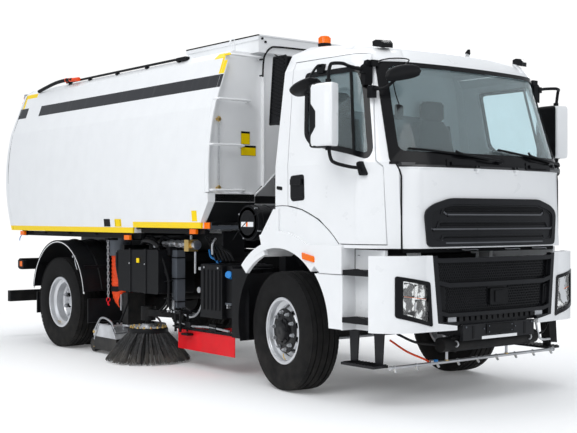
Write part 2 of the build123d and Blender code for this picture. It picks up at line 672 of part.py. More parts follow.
DOOR_SIDE = [(-1296, 1335), (-820, 1335), (-740, 1400), (-560, 1536), (-330, 1622), (-133, 1656),
             (-133, 1940), (-76, 2925), (-1010, 2925), (-1070, 2800), (-1250, 2010), (-1296, 1960)]
WINDOW = [(-270, 2795), (-985, 2795), (-1065, 2640), (-1205, 2095), (-1180, 2042), (-420, 2185), (-335, 2260)]
SCREEN = [(-1085, 2000), (1085, 2000), (1005, 2860), (-1005, 2860)]


def grown(pts, d):
    """The outline moved outwards by d along the line from its middle."""
    cy = sum(p[0] for p in pts) / len(pts)
    cz = sum(p[1] for p in pts) / len(pts)
    out = []
    for y, z in pts:
        out.append((y + (d if y > cy else -d), z + (d if z > cz else -d)))
    return out


with BuildPart() as cab_outer:
    cab_body(0, 1300, 3300)
with BuildPart() as cab_inner:
    cab_body(WALL, CAB_Z0 + WALL, 3300)
with BuildPart() as cab_inner_full:
    cab_body(WALL, CAB_Z0, 3300)

with BuildPart() as cab_shell:
    add(cab_outer.part)
    add(cab_inner.part, mode=Mode.SUBTRACT)
    side_plate(grown(DOOR_SIDE, 8), 1000, 1400, mode=Mode.SUBTRACT)
    side_plate(grown(DOOR_SIDE, 8), -1400, -1000, mode=Mode.SUBTRACT)
    front_plate(SCREEN, -1700, -950, 60, mode=Mode.SUBTRACT)
    box(-1048, 1048, -1700, -1240, 1200, 1968, mode=Mode.SUBTRACT)
    box(-700, 700, -60, 120, 2150, 2550, mode=Mode.SUBTRACT)
    for x in (-LID_X, LID_X):
        box(x - 14, x + 14, -1500, -1412, 1960, 1982, mode=Mode.SUBTRACT)
        for side in (-1, 1):
            xa, xb = sorted((x + side * 14, x + side * 26))
            box(xa, xb, LID_Y - 9, LID_Y + 35, LID_Z - 9, 1985)
        rod((x - 20, LID_Y, LID_Z), (x + 20, LID_Y, LID_Z), 5)
    box(-1080, 1080, -1325, -1308, 1300, 1990)
    box(-1040, 1040, -1412, -1308, 1972, 1998)
    box(-1060, 1060, -1325, -1000, 1300, 1345)
    for x0, x1 in ((1190, 1245), (-1245, -1190)):
        arc_band(0, ARCH_Z, 680, 830, 72, 134, x0, x1)
        side_plate([(WELL_Y, 1082), (WELL_Y, 1320), (-300, 1320), (-590, 1082)], x0, x1)
        side_plate([(-20, 1400), (238, 1388), (50, 1625), (-20, 1625)], x0, x1)
        arc_band(0, ARCH_Z, 640, 745, 43, 73, x0 + 8, x1 - 8)
    boxes(WELL_X + 8, 1245, WELL_Y, WELL_Y + 20, 1082, 1310)
    for x0, x1 in ((800, 1240), (-1240, -800)):
        arc_band(0, ARCH_Z, 680, 712, 60, 134, x0, x1)
    for x0, x1 in ((1040, 1200), (-1200, -1040)):
        arc_band(-50, ARCH_Z, 1020, 1052, 89, 132, x0, x1)
    for x0, x1 in ((445, 485), (-485, -445)):
        side_plate([(PIVOT_Y - 40, PIVOT_Z - 40), (PIVOT_Y + 40, PIVOT_Z - 40), (PIVOT_Y + 460, PIVOT_Z + 250),
                    (PIVOT_Y + 470, 1320), (PIVOT_Y + 330, 1320), (PIVOT_Y + 345, PIVOT_Z + 335),
                    (PIVOT_Y - 40, PIVOT_Z + 45)], x0, x1)
        rod((x0 - 5, PIVOT_Y, PIVOT_Z), (x1 + 5, PIVOT_Y, PIVOT_Z), 20 + FIT, mode=Mode.SUBTRACT)
cab_shell.part.label = "cab_shell"
export_step(cab_shell.part, "parts/cab_shell.step")


def door_solid(side):
    x0, x1 = sorted((side * 1000, side * 1400))
    add(cab_outer.part)
    add(cab_inner_full.part, mode=Mode.SUBTRACT)
    side_plate(DOOR_SIDE, x0, x1, mode=Mode.INTERSECT)
    side_plate(WINDOW, x0, x1, 40, mode=Mode.SUBTRACT)


with BuildPart() as door_left:
    door_solid(1)
door_left.part.label = "door_left"
export_step(door_left.part, "parts/door_left.step")

with BuildPart() as door_right:
    door_solid(-1)
door_right.part.label = "door_right"
export_step(door_right.part, "parts/door_right.step")

with BuildPart() as glass_outer:
    cab_body(10, 1900, 3000)
with BuildPart() as glass_inner:
    cab_body(16, 1850, 3050)

with BuildPart() as door_glass_left:
    add(glass_outer.part)
    add(glass_inner.part, mode=Mode.SUBTRACT)
    side_plate(grown(WINDOW, -0.4), 1000, 1400, 40, mode=Mode.INTERSECT)
door_glass_left.part.label = "door_glass_left"
export_step(door_glass_left.part, "parts/door_glass_left.step")

with BuildPart() as door_glass_right:
    add(glass_outer.part)
    add(glass_inner.part, mode=Mode.SUBTRACT)
    side_plate(grown(WINDOW, -0.4), -1400, -1000, 40, mode=Mode.INTERSECT)
door_glass_right.part.label = "door_glass_right"
export_step(door_glass_right.part, "parts/door_glass_right.step")

with BuildPart() as windscreen:
    add(glass_outer.part)
    add(glass_inner.part, mode=Mode.SUBTRACT)
    front_plate([(-1084.6, 2000.4), (1084.6, 2000.4), (1004.6, 2859.6), (-1004.6, 2859.6)], -1700, -950, 60,
                mode=Mode.INTERSECT)
    box(-699.6, 699.6, 10, 16, 2150.4, 2549.6)
windscreen.part.label = "windscreen"
export_step(windscreen.part, "parts/windscreen.step")

with BuildPart() as lid_inner:
    cab_body(35, 1300, 3300)

with BuildPart() as front_panel:
    add(cab_outer.part)
    add(lid_inner.part, mode=Mode.SUBTRACT)
    box(-1040, 1040, -1700, -1250, 1285, 1960, mode=Mode.INTERSECT)
    for x in (-LID_X, LID_X):
        box(x - 32, x + 32, -1500, -1380, LID_Z - 16, 2000, mode=Mode.SUBTRACT)
        box(x - 12, x + 12, LID_Y - 9, LID_Y + 40, LID_Z - 40, LID_Z + 9)
        rod((x - 20, LID_Y, LID_Z), (x + 20, LID_Y, LID_Z), 5 + FIT, mode=Mode.SUBTRACT)
front_panel.part.label = "front_panel"
export_step(front_panel.part, "parts/front_panel.step")

GRILLE = [(-840, 1288), (840, 1288), (870, 1560), (780, 1610), (520, 1665), (-520, 1665), (-780, 1610), (-870, 1560)]
RECESS = [(-785, 1280), (785, 1280), (812, 1548), (745, 1580), (500, 1612), (-500, 1612), (-745, 1580), (-812, 1548)]
GRILLE_RIBS = [
    # height, half the length at the top, half at the bottom
    (1532, 640, 665),
    (1415, 770, 790),
    (1302, 660, 690),
]

with BuildPart() as grille_outer:
    cab_body(-14, 1300, 3300)
with BuildPart() as grille_floor:
    cab_body(-4, 1300, 3300)
with BuildPart() as grille_mask:
    front_plate(GRILLE, -1700, -1250)
    front_plate(RECESS, -1700, -1250, mode=Mode.SUBTRACT)
    for z, top, bottom in GRILLE_RIBS:
        front_plate([(-top, z + 8), (top, z + 8), (bottom, z - 8), (-bottom, z - 8)], -1700, -1250)

with BuildPart() as upper_grille:
    add(grille_outer.part)
    add(grille_mask.part, mode=Mode.INTERSECT)
    add(grille_floor.part)
    front_plate(GRILLE, -1700, -1250, mode=Mode.INTERSECT)
    add(cab_outer.part, mode=Mode.SUBTRACT)
upper_grille.part.label = "upper_grille"
export_step(upper_grille.part, "parts/upper_grille.step")

with BuildPart() as cab_interior:
    box(-1040, 1040, -1300, -1000, 1345.3, 1900)
    for x in (-620, 620):
        box(x - 240, x + 240, -620, -130, 1345.3, 1760)
        side_plate([(-250, 1760), (-130, 1760), (-40, 2450), (-120, 2460)], x - 230, x + 230)
    box(-330, 330, -1000, -60, 1345.3, 1620)
    rod((620, -1010, 1800), (620, -792, 1988), 30)
    with Locations(Plane(origin=(620, -790 + YO, 1990), z_dir=(0, 0.76, 0.65))):
        Torus(215, 16)
        Box(400, 50, 16)
cab_interior.part.label = "cab_interior"
export_step(cab_interior.part, "parts/cab_interior.step")

with BuildPart() as snorkel:
    side_plate([(60, 2400), (300, 2400), (240, 3010), (60, 3010)], -1090, -820, 20)
    side_plate([(60, 1900), (200, 1900), (200, 2250), (140, 2400), (60, 2400)], -1060, -850)
    box(-1060, -850, 50.3, 80, 1900, 3000)
snorkel.part.label = "snorkel"
export_step(snorkel.part, "parts/snorkel.step")

with BuildPart() as roof_fittings:
    rod((-800, -130, 3085.3), (-800, -130, 3115), 60)
    rod((-800, -130, 3115), (-800, -130, 3190), 56)
    for side in (-1, 1):
        box(side * 800 - 50, side * 800 + 50, -930, -820, 2980, 3120)
    side_plate([(-820, 3085.3), (-720, 3085.3), (-720, 3100), (-790, 3150)], 290, 310)
    box(-1110, -1050, -1215, -1160, 2520, 2640)
    rod((-1085, -1180, 2600), (-1010, -1340, 2690), 13)
    rod((-1125, -1325, 2682), (-855, -1395, 2742), 62)
    add(cab_outer.part, mode=Mode.SUBTRACT)
roof_fittings.part.label = "roof_fittings"
export_step(roof_fittings.part, "parts/roof_fittings.step")


def mirror_set(side):
    """Housing, its two arms and feet, and the kerb mirror."""
    pts = [(1400, -1020), (1515, -1056), (1530, -990), (1530, -800), (1505, -755), (1410, -755)]
    plan_plate([(side * x, y) for x, y in pts], 2122, 2638, 20)
    tube([(side * 1130, -1080, 2770), (side * 1460, -1000, 2790), (side * 1460, -930, 2625)], 14, 30)
    tube([(side * 1195, -1130, 1950), (side * 1450, -1000, 1990), (side * 1450, -930, 2135)], 14, 30)
    xa, xb = sorted((side * 1040, side * 1160))
    box(xa, xb, -1110, -1040, 2620, 2820)
    xa, xb = sorted((side * 1180, side * 1255))
    box(xa, xb, -1160, -1080, 1890, 2010)
    add(cab_outer.part, mode=Mode.SUBTRACT)


with BuildPart() as mirrors_left:
    mirror_set(1)
mirrors_left.part.label = "mirrors_left"
export_step(mirrors_left.part, "parts/mirrors_left.step")

with BuildPart() as mirrors_right:
    mirror_set(-1)
    rod((-1120, -470, 2860), (-1290, -490, 2690), 12)
    box(-1420, -1210, -650, -370, 2600, 2710)
    add(cab_outer.part, mode=Mode.SUBTRACT)
mirrors_right.part.label = "mirrors_right"
export_step(mirrors_right.part, "parts/mirrors_right.step")

# ---------------------------------------------------------------- hopper
def hopper_outline(t, z0):
    """Cross-section of the hopper drawn in by t, from height z0 up."""
    w = HOP_W - t
    ThreePointArc((-w, z0), (-1284 + t, 2000), (-1212 + t, 2620))
    Line((-1212 + t, 2620), (-1040 + t, 3120 - t * 0.5))
    Line((-1040 + t, 3120 - t * 0.5), (-960 + t, 3190 - t))
    Line((-960 + t, 3190 - t), (960 - t, 3190 - t))
    Line((960 - t, 3190 - t), (1040 - t, 3120 - t * 0.5))
    Line((1040 - t, 3120 - t * 0.5), (1212 - t, 2620))
    ThreePointArc((1212 - t, 2620), (1284 - t, 2000), (w, z0))
    Line((w, z0), (-w, z0))


def hopper_prism(t, z0, y0, y1, mode=Mode.ADD):
    with BuildSketch(Plane(origin=(0, y1 + YO, 0), x_dir=(1, 0, 0), z_dir=(0, -1, 0))) as s:
        with BuildLine():
            hopper_outline(t, z0)
        make_face()
    extrude(s.sketch, amount=y1 - y0, mode=mode)


REAR_ARC = [(5550.0, HOP_Z0), (5668.0, 2380.0), (5585.0, 3200.0)]


def rear_side(dy, mode):
    """Everything behind the hopper's bowed rear edge."""
    a, b, c = [(y + dy, z) for y, z in REAR_ARC]
    with BuildSketch(side_plane(-1400)) as s:
        with BuildLine():
            Line((a[0], 1300), a)
            ThreePointArc(a, b, c)
            Line(c, (c[0], 3300))
            Line((c[0], 3300), (6200, 3300))
            Line((6200, 3300), (6200, 1300))
            Line((6200, 1300), (a[0], 1300))
        make_face()
    extrude(s.sketch, amount=2800, mode=mode)


with BuildPart() as hopper_shell:
    hopper_prism(0, HOP_Z0, HOP_Y0, 5800)
    rear_side(-66, Mode.SUBTRACT)
    side_plate([(1000, 1300), (1000, 1700), (1030, 1700), (1180, 1500), (1180, 1442), (2480, 1442), (2500, 1300)],
               -1400, 1400, mode=Mode.SUBTRACT)
    front_plate([(-713, 1300), (-713, 1749), (-470, 1977), (470, 1977), (713, 1749), (713, 1300)], 1000, 1700,
                mode=Mode.SUBTRACT)
    box(-1400, -600, 1000, 1080, 1785, 3300, mode=Mode.SUBTRACT)
    hopper_prism(HOP_T, HOP_Z0 + HOP_T, 1800, 5800, mode=Mode.SUBTRACT)
    front_plate([(-1215, 2020), (-1150, 2600), (-960, 3120), (960, 3120), (1150, 2600), (1215, 2020)], 1125, 1760,
                mode=Mode.SUBTRACT)
    boxes(330, 420, 1800, 5240, SUB_Z + 10, HOP_Z0 + 10)
    boxes(318, 345, 5180, 5350, 1050, HOP_Z0 + 10)
    for side in (-1, 1):
        rod((side * 310, TIP_Y, TIP_Z), (side * 350, TIP_Y, TIP_Z), 25 + FIT, mode=Mode.SUBTRACT)
    for x in (-RAM_X, RAM_X):
        for side in (-1, 1):
            xa, xb = sorted((x + side * 38.5, x + side * 52))
            side_plate([(3630, 1400), (3665, 1268), (3735, 1268), (3770, 1400)], xa, xb)
        rod((x - 60, HIGH_EYE[0], HIGH_EYE[1]), (x + 60, HIGH_EYE[0], HIGH_EYE[1]), 20 + FIT, mode=Mode.SUBTRACT)
    for x in (-700, 700):
        for side in (-1, 1):
            xa, xb = sorted((x + side * 28, x + side * 44))
            side_plate([(5400, 3180), (5512, 3180), (5530, GATE_Z - 12), (GATE_Y + 16, GATE_Z - 12), (GATE_Y + 16, GATE_Z + 20),
                        (5400, GATE_Z + 20)], xa, xb)
        rod((x - 36, GATE_Y, GATE_Z), (x + 36, GATE_Y, GATE_Z), 9)
    box(-740, 740, 940, 2210, 3180, 3350)
    for z, x in ((3140, 1040), (2700, 1180), (2255, 1255), (1815, 1250)):
        tube([(-x, 1081, z), (-x, 1010, z), (-x + 400, 1010, z), (-x + 400, 1081, z)], 12, 25)
hopper_shell.part.label = "hopper_shell"
export_step(hopper_shell.part, "parts/hopper_shell.step")

with BuildPart() as tailgate:
    hopper_prism(0, HOP_Z0, 5300, 5800)
    rear_side(0, Mode.SUBTRACT)
    with BuildSketch(side_plane(-1400)) as s2:
        with BuildLine():
            Line((5200, 1300), (REAR_ARC[0][0] - 60, 1300))
            Line((REAR_ARC[0][0] - 60, 1300), (REAR_ARC[0][0] - 60, HOP_Z0))
            ThreePointArc((REAR_ARC[0][0] - 60, HOP_Z0), (REAR_ARC[1][0] - 60, REAR_ARC[1][1]),
                          (REAR_ARC[2][0] - 60, REAR_ARC[2][1]))
            Line((REAR_ARC[2][0] - 60, REAR_ARC[2][1]), (5200, 3300))
            Line((5200, 3300), (5200, 1300))
        make_face()
    extrude(amount=2800, mode=Mode.SUBTRACT)
    for x in (-700, 700):
        box(x - 25, x + 25, 5560, GATE_Y + 25, 3100, GATE_Z)
        rod((x - 25, GATE_Y, GATE_Z), (x + 25, GATE_Y, GATE_Z), 25)
        rod((x - 40, GATE_Y, GATE_Z), (x + 40, GATE_Y, GATE_Z), 9 + FIT, mode=Mode.SUBTRACT)
tailgate.part.label = "tailgate"
export_step(tailgate.part, "parts/tailgate.step")


def along_ram(x, d):
    return (x, LOW_EYE[0] + RAM_UY * d, LOW_EYE[1] + RAM_UZ * d)


with BuildPart() as tip_barrels:
    for x in (-RAM_X, RAM_X):
        rod((x - 30, LOW_EYE[0], LOW_EYE[1]), (x + 30, LOW_EYE[0], LOW_EYE[1]), 42)
        rod(along_ram(x, 30), along_ram(x, RAM_LEN - 110), 55)
        rod(along_ram(x, 60), along_ram(x, RAM_LEN), 32.3, mode=Mode.SUBTRACT)
        rod((x - 40, LOW_EYE[0], LOW_EYE[1]), (x + 40, LOW_EYE[0], LOW_EYE[1]), 25 + FIT, mode=Mode.SUBTRACT)
tip_barrels.part.label = "tip_barrels"
export_step(tip_barrels.part, "parts/tip_barrels.step")

with BuildPart() as tip_rods:
    for x in (-RAM_X, RAM_X):
        rod(along_ram(x, 100), along_ram(x, RAM_LEN - 20), 32)
        rod((x - 25, HIGH_EYE[0], HIGH_EYE[1]), (x + 25, HIGH_EYE[0], HIGH_EYE[1]), 40)
        rod((x - 33, HIGH_EYE[0], HIGH_EYE[1]), (x + 33, HIGH_EYE[0], HIGH_EYE[1]), 20)
tip_rods.part.label = "tip_rods"
export_step(tip_rods.part, "parts/tip_rods.step")
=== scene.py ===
import math
import random

import bmesh
import bpy
from mathutils import Euler, Matrix, Vector


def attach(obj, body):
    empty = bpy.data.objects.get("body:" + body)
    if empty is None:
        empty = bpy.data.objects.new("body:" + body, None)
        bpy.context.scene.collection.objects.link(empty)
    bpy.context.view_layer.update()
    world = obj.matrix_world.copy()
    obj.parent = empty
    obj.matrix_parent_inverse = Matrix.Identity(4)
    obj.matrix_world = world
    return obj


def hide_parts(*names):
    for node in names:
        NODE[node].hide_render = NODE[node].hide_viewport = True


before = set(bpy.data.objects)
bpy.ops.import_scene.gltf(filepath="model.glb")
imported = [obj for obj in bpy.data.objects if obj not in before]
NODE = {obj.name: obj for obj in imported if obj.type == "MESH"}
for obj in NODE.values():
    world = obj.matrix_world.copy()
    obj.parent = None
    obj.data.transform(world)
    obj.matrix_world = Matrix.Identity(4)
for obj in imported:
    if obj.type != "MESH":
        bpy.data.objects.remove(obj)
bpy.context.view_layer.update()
YO = -2.140  # the front axle's place; stations below are counted from it


# ------------------------------------------------------------------ shader graph
class Sock:
    """A value in a shader graph, with arithmetic."""

    def __init__(self, graph, socket):
        self.graph = graph
        self.socket = socket

    def __add__(self, other):
        return self.graph.math("ADD", self, other)

    def __sub__(self, other):
        return self.graph.math("SUBTRACT", self, other)

    def __mul__(self, other):
        return self.graph.math("MULTIPLY", self, other)

    __radd__ = __add__
    __rmul__ = __mul__

    def __rsub__(self, other):
        return self.graph.math("SUBTRACT", other, self)

    def over(self, edge):
        return self.graph.math("GREATER_THAN", self, edge)

    def under(self, edge):
        return self.graph.math("LESS_THAN", self, edge)

    def between(self, low, high):
        return self.over(low) * self.under(high)

    def either(self, other):
        return self.graph.math("MAXIMUM", self, other)

    def size(self):
        return self.graph.math("ABSOLUTE", self, 0.0)

    def ramp(self, low, high):
        node = self.graph.node("ShaderNodeMapRange")
        self.graph.put(node.inputs[0], self)
        node.inputs[1].default_value = low
        node.inputs[2].default_value = high
        return Sock(self.graph, node.outputs[0])


class Graph:
    """A material built from sockets."""

    def __init__(self, name):
        self.mat = bpy.data.materials.new(name)
        self.mat.use_nodes = True
        self.tree = self.mat.node_tree
        self.tree.nodes.clear()
        self.out = self.node("ShaderNodeOutputMaterial")
        self.bsdf = self.node("ShaderNodeBsdfPrincipled")
        self.tree.links.new(self.bsdf.outputs[0], self.out.inputs[0])
        coords = self.node("ShaderNodeTexCoord")
        self.where = Sock(self, coords.outputs["Object"])
        split = self.node("ShaderNodeSeparateXYZ")
        self.put(split.inputs[0], self.where)
        self.x, self.y, self.z = [Sock(self, s) for s in split.outputs]

    def node(self, kind, **props):
        made = self.tree.nodes.new(kind)
        for key, value in props.items():
            setattr(made, key, value)
        return made

    def put(self, socket, value):
        if isinstance(value, Sock):
            self.tree.links.new(value.socket, socket)
        else:
            socket.default_value = value

    def set(self, name, value):
        if isinstance(value, tuple) and len(value) == 3:
            value = (*value, 1.0)
        self.put(self.bsdf.inputs[name], value)

    def math(self, op, a, b):
        node = self.node("ShaderNodeMath", operation=op)
        self.put(node.inputs[0], a)
        self.put(node.inputs[1], b)
        return Sock(self, node.outputs[0])

    def stretched(self, scale):
        node = self.node("ShaderNodeMapping")
        self.put(node.inputs[0], self.where)
        node.inputs["Scale"].default_value = scale
        return Sock(self, node.outputs[0])

    def noise(self, scale, detail=3.0, where=None):
        node = self.node("ShaderNodeTexNoise")
        self.put(node.inputs["Vector"], where or self.where)
        node.inputs["Scale"].default_value = scale
        node.inputs["Detail"].default_value = detail
        return Sock(self, node.outputs["Fac"])

    def mix(self, fac, a, b):
        node = self.node("ShaderNodeMix", data_type="RGBA")
        self.put(node.inputs[0], fac)
        self.put(node.inputs[6], (*a, 1.0) if isinstance(a, tuple) else a)
        self.put(node.inputs[7], (*b, 1.0) if isinstance(b, tuple) else b)
        return Sock(self, node.outputs[2])

    def bump(self, height, distance, strength=0.5):
        node = self.node("ShaderNodeBump")
        node.inputs["Strength"].default_value = strength
        node.inputs["Distance"].default_value = distance
        self.put(node.inputs["Height"], height)
        self.put(self.bsdf.inputs["Normal"], Sock(self, node.outputs[0]))


def shade(color, k):
    return tuple(min(1.0, c * k) for c in color)


DUST = (0.30, 0.27, 0.23)


def surface(name, color, rough, metal=0.0, coat=0.0, vary=0.06, scale=6.0, grain=0.0, grain_scale=300.0,
            dust=0.0, dust_top=1.2, paint=None, stretch=(1, 1, 1), spec=0.5):
    """A finish with cloudy colour, uneven gloss, fine grain and road dust that thickens downwards."""
    g = Graph(name)
    cloud = g.noise(scale, 4.0, g.stretched(stretch))
    tint = g.mix(cloud.ramp(0.3, 0.7), shade(color, 1 - vary), shade(color, 1 + vary))
    if paint:
        tint = paint(g, tint)
    low = (g.z * -1.0 + dust_top).ramp(0.0, dust_top) * g.noise(9.0, 5.0).ramp(0.35, 0.75)
    tint = g.mix(low * dust, tint, DUST)
    g.set("Base Color", tint)
    g.set("Roughness", cloud.ramp(0.0, 1.0) * 0.16 + (rough - 0.08) + low * dust * 0.3)
    g.set("Metallic", metal)
    g.set("Coat Weight", coat)
    g.set("Coat Roughness", 0.06)
    g.set("Specular IOR Level", spec)
    if grain:
        g.bump(g.noise(grain_scale, 2.0), grain)
    return g.mat


def glass(name, tint, rough=0.0, milk=0.0):
    g = Graph(name)
    haze = g.noise(3.0, 4.0)
    g.set("Base Color", g.mix(haze.ramp(0.3, 0.8), tint, shade(tint, 0.93)))
    g.set("Roughness", haze.ramp(0.5, 1.0) * 0.03 + rough)
    g.set("Transmission Weight", 1.0 - milk)
    g.set("IOR", 1.45)
    return g.mat


def station(g):
    return g.y + (-YO)


def hopper_paint(g, tint):
    """Sill stripe, grey band with its white break, corner marks, and near-black painted shadow underneath and
    in front of the engine bay.
    """
    s = station(g)
    level = g.node("ShaderNodeTexCoord")
    facet = g.node("ShaderNodeSeparateXYZ")
    g.tree.links.new(level.outputs["Normal"], facet.inputs[0])
    side = Sock(g, facet.outputs[0]).size().over(0.35) * g.x.size().over(0.95)
    yellow = s.between(1.18, 2.47) * g.z.between(1.435, 1.502) * g.x.size().over(1.235)
    yellow = yellow.either(s.between(2.47, 5.56) * g.z.between(1.378, 1.441) * g.x.size().over(1.235))
    front = s.between(1.00, 1.115) * g.z.between(2.952, 3.172)
    front = front.either(s.between(1.00, 1.265) * g.z.between(3.112, 3.172))
    rear = s.between(5.50, 5.55) * g.z.between(2.86, 3.13)
    rear = rear.either(s.between(5.22, 5.55) * g.z.between(3.075, 3.13))
    yellow = yellow.either(front * side).either(rear * side)
    tint = g.mix(yellow, tint, (1.0, 0.70, 0.0))
    band = g.z.between(2.815, 2.945) * s.between(1.00, 5.60)
    gap = s.between(5.00, 5.36)
    tint = g.mix(band * gap.under(0.5) * side, tint, (0.016, 0.017, 0.021))
    streak = g.noise(5.0, 5.0, g.stretched((1.0, 4.0, 0.25)))
    tint = g.mix(streak.ramp(0.55, 0.9) * 0.06, tint, (0.52, 0.52, 0.50))
    # Painted shadow: the underside, the front face below the white edge and the triangle by the engine bay
    # are coloured near black to stand in for the shade there.
    edge = g.math("MINIMUM", g.x.size() * -0.94 + 2.43, 1.985)
    low = g.z.under(1.377).either(s.under(1.20) * g.z.under(1.70) * g.x.size().under(1.20))
    low = low.either(s.under(1.10) * g.z.under(edge) * g.x.size().under(0.72))
    return g.mix(low, tint, (0.010, 0.0105, 0.012))


def cab_paint(g, tint):
    """Black in the cowl between the screen and the front lid, where the hinges sit."""
    cowl = g.z.between(1.9615, 2.004) * station(g).under(-1.30) * g.x.size().under(1.09)
    return g.mix(cowl, tint, (0.012, 0.0125, 0.014))


def nozzle_paint(g, tint):
    """Rubber skirt below the bright hood, black hose socket above it."""
    dark = g.z.under(0.190).either(g.z.over(0.345))
    return g.mix(dark, tint, (0.010, 0.010, 0.011))


def painted_reflection_facets(g, tint):
    """Dark facets painted onto the lamp's mirror: a painted reflection, bright and dark as a lamp's mirror
    shows them.
    """
    facets = g.noise(17.0, 2.0, g.stretched((1.0, 1.0, 0.7))).ramp(0.47, 0.53)
    return g.mix(facets * 0.85, tint, (0.015, 0.015, 0.017))


WHITE = (0.87, 0.88, 0.89)
M = {
    "white": surface("white_paint", WHITE, 0.30, coat=0.6, vary=0.012, dust=0.16, dust_top=0.9,
                     paint=cab_paint),
    "hopper": surface("hopper_paint", WHITE, 0.36, coat=0.12, vary=0.015, paint=hopper_paint, spec=0.3),
    "frame": surface("frame_paint", (0.006, 0.0062, 0.007), 0.55, vary=0.3, dust=0.06, grain=0.0006,
                     spec=0.14),
    "black": surface("black_plastic", (0.0055, 0.0058, 0.007), 0.48, vary=0.25, dust=0.02, grain=0.0004,
                     grain_scale=500, spec=0.16),
    "gloss": surface("black_gloss", (0.0045, 0.0045, 0.0055), 0.24, coat=0.06, vary=0.2, dust=0.01, spec=0.2),
    "tyre": surface("tyre_rubber", (0.0085, 0.0083, 0.0085), 0.80, vary=0.3, scale=14, dust=0.07,
                    dust_top=0.7, grain=0.0006, spec=0.16),
    "silver": surface("wheel_silver", (0.70, 0.71, 0.73), 0.36, metal=0.65, vary=0.06, dust=0.12,
                      grain=0.0003),
    "steel": surface("steel", (0.55, 0.56, 0.58), 0.36, metal=0.85, vary=0.14, dust=0.2, stretch=(1, 1, 6)),
    "zinc": surface("zinc_paint", (0.105, 0.118, 0.138), 0.42, metal=0.25, vary=0.14, dust=0.10,
                    grain=0.0004),
    "iron": surface("iron", (0.010, 0.010, 0.011), 0.62, metal=0.3, vary=0.35, dust=0.08, grain=0.0008,
                    spec=0.15),
    "tank": surface("tank_paint", (0.009, 0.0092, 0.0105), 0.46, vary=0.2, dust=0.05, spec=0.2),
    "red": surface("red_flap", (0.80, 0.008, 0.016), 0.46, vary=0.08, dust=0.10, dust_top=0.45, spec=0.25),
    "hose": surface("hose_red", (0.86, 0.075, 0.012), 0.45, vary=0.15, dust=0.05, dust_top=0.9, spec=0.3),
    "bristle": surface("bristle", (0.045, 0.045, 0.046), 0.62, vary=0.55, scale=45, dust=0.55, dust_top=0.20,
                       spec=0.3),
    "window": glass("window", (0.80, 0.945, 0.985), milk=0.07),
    # A lighter satin copy of the black grille plastic: a painted highlight for the ribs' sky-lit top edges.
    "rib": surface("grille_rib_highlight", (0.075, 0.078, 0.088), 0.30, coat=0.4, vary=0.1),
    "trim": surface("grille_trim", (0.0095, 0.010, 0.012), 0.38, vary=0.15, dust=0.02, grain=0.0003,
                    grain_scale=500, spec=0.22),
    "lens": glass("lens", (0.95, 0.965, 0.97)),
    "inside": surface("inside", (0.014, 0.0145, 0.016), 0.7, vary=0.2, grain=0.0004, spec=0.15),
    "nozzle": surface("nozzle_steel", (0.60, 0.61, 0.63), 0.40, metal=0.35, vary=0.2, dust=0.15,
                      paint=nozzle_paint, spec=0.3),
    "pale": surface("pale_plastic", (0.62, 0.60, 0.55), 0.4, vary=0.1),
    "chrome": surface("chrome", (0.86, 0.87, 0.88), 0.10, metal=1.0, vary=0.03),
    # The lamp dish carries a painted reflection: dark facets mixed into its mirror colour.
    "dish": surface("lamp_dish", (0.92, 0.92, 0.92), 0.12, metal=1.0, vary=0.02, paint=painted_reflection_facets),
    "brass": surface("brass", (0.72, 0.50, 0.18), 0.32, metal=0.9, vary=0.12, dust=0.10),
    "amber": surface("amber", (0.98, 0.17, 0.0), 0.25, coat=0.15, vary=0.08, spec=0.3),
    "yellow": surface("yellow_plate", (1.0, 0.70, 0.0), 0.4, vary=0.03, spec=0.2),
    "lampred": surface("lamp_red", (0.55, 0.01, 0.01), 0.2, coat=0.5, vary=0.1),
    "blue": surface("blue_rubber", (0.012, 0.22, 0.62), 0.4, vary=0.1, dust=0.05),
    "mirror": surface("mirror", (0.9, 0.9, 0.9), 0.07, metal=1.0, vary=0.01),
}

CAD_LOOK = {
    "white": ["bumper", "cab_shell", "door_left", "door_right", "front_panel", "mirrors_left",
              "mirrors_right"],
    "hopper": ["hopper_shell", "tailgate"],
    "frame": ["chassis_frame", "rear_bar", "tip_barrels", "brush_arm"],
    "iron": ["engine", "axles", "knuckle_left", "knuckle_right"],
    "tyre": ["tyre_front_left", "tyre_front_right", "tyres_rear_left", "tyres_rear_right"],
    "silver": ["rim_front_left", "rim_front_right", "rims_rear_left", "rims_rear_right"],
    "steel": ["tie_rod", "spray_bar"],
    "nozzle": ["nozzle"],
    "trim": ["bumper_grille"],
    "black": ["mudguards", "side_boxes", "upper_grille", "snorkel", "roof_fittings"],
    "lens": ["headlamps"],
    "tank": ["fuel_tank"],
    "zinc": ["brush_post"],
    "red": ["flap"],
    "bristle": ["side_brush"],
    "hose": ["suction_hose"],
    "window": ["door_glass_left", "door_glass_right", "windscreen"],
    "inside": ["cab_interior"],
    "chrome": ["tip_rods"],
}
for look, nodes in CAD_LOOK.items():
    for node in nodes:
        data = NODE[node].data
        data.materials.clear()
        data.materials.append(M[look])


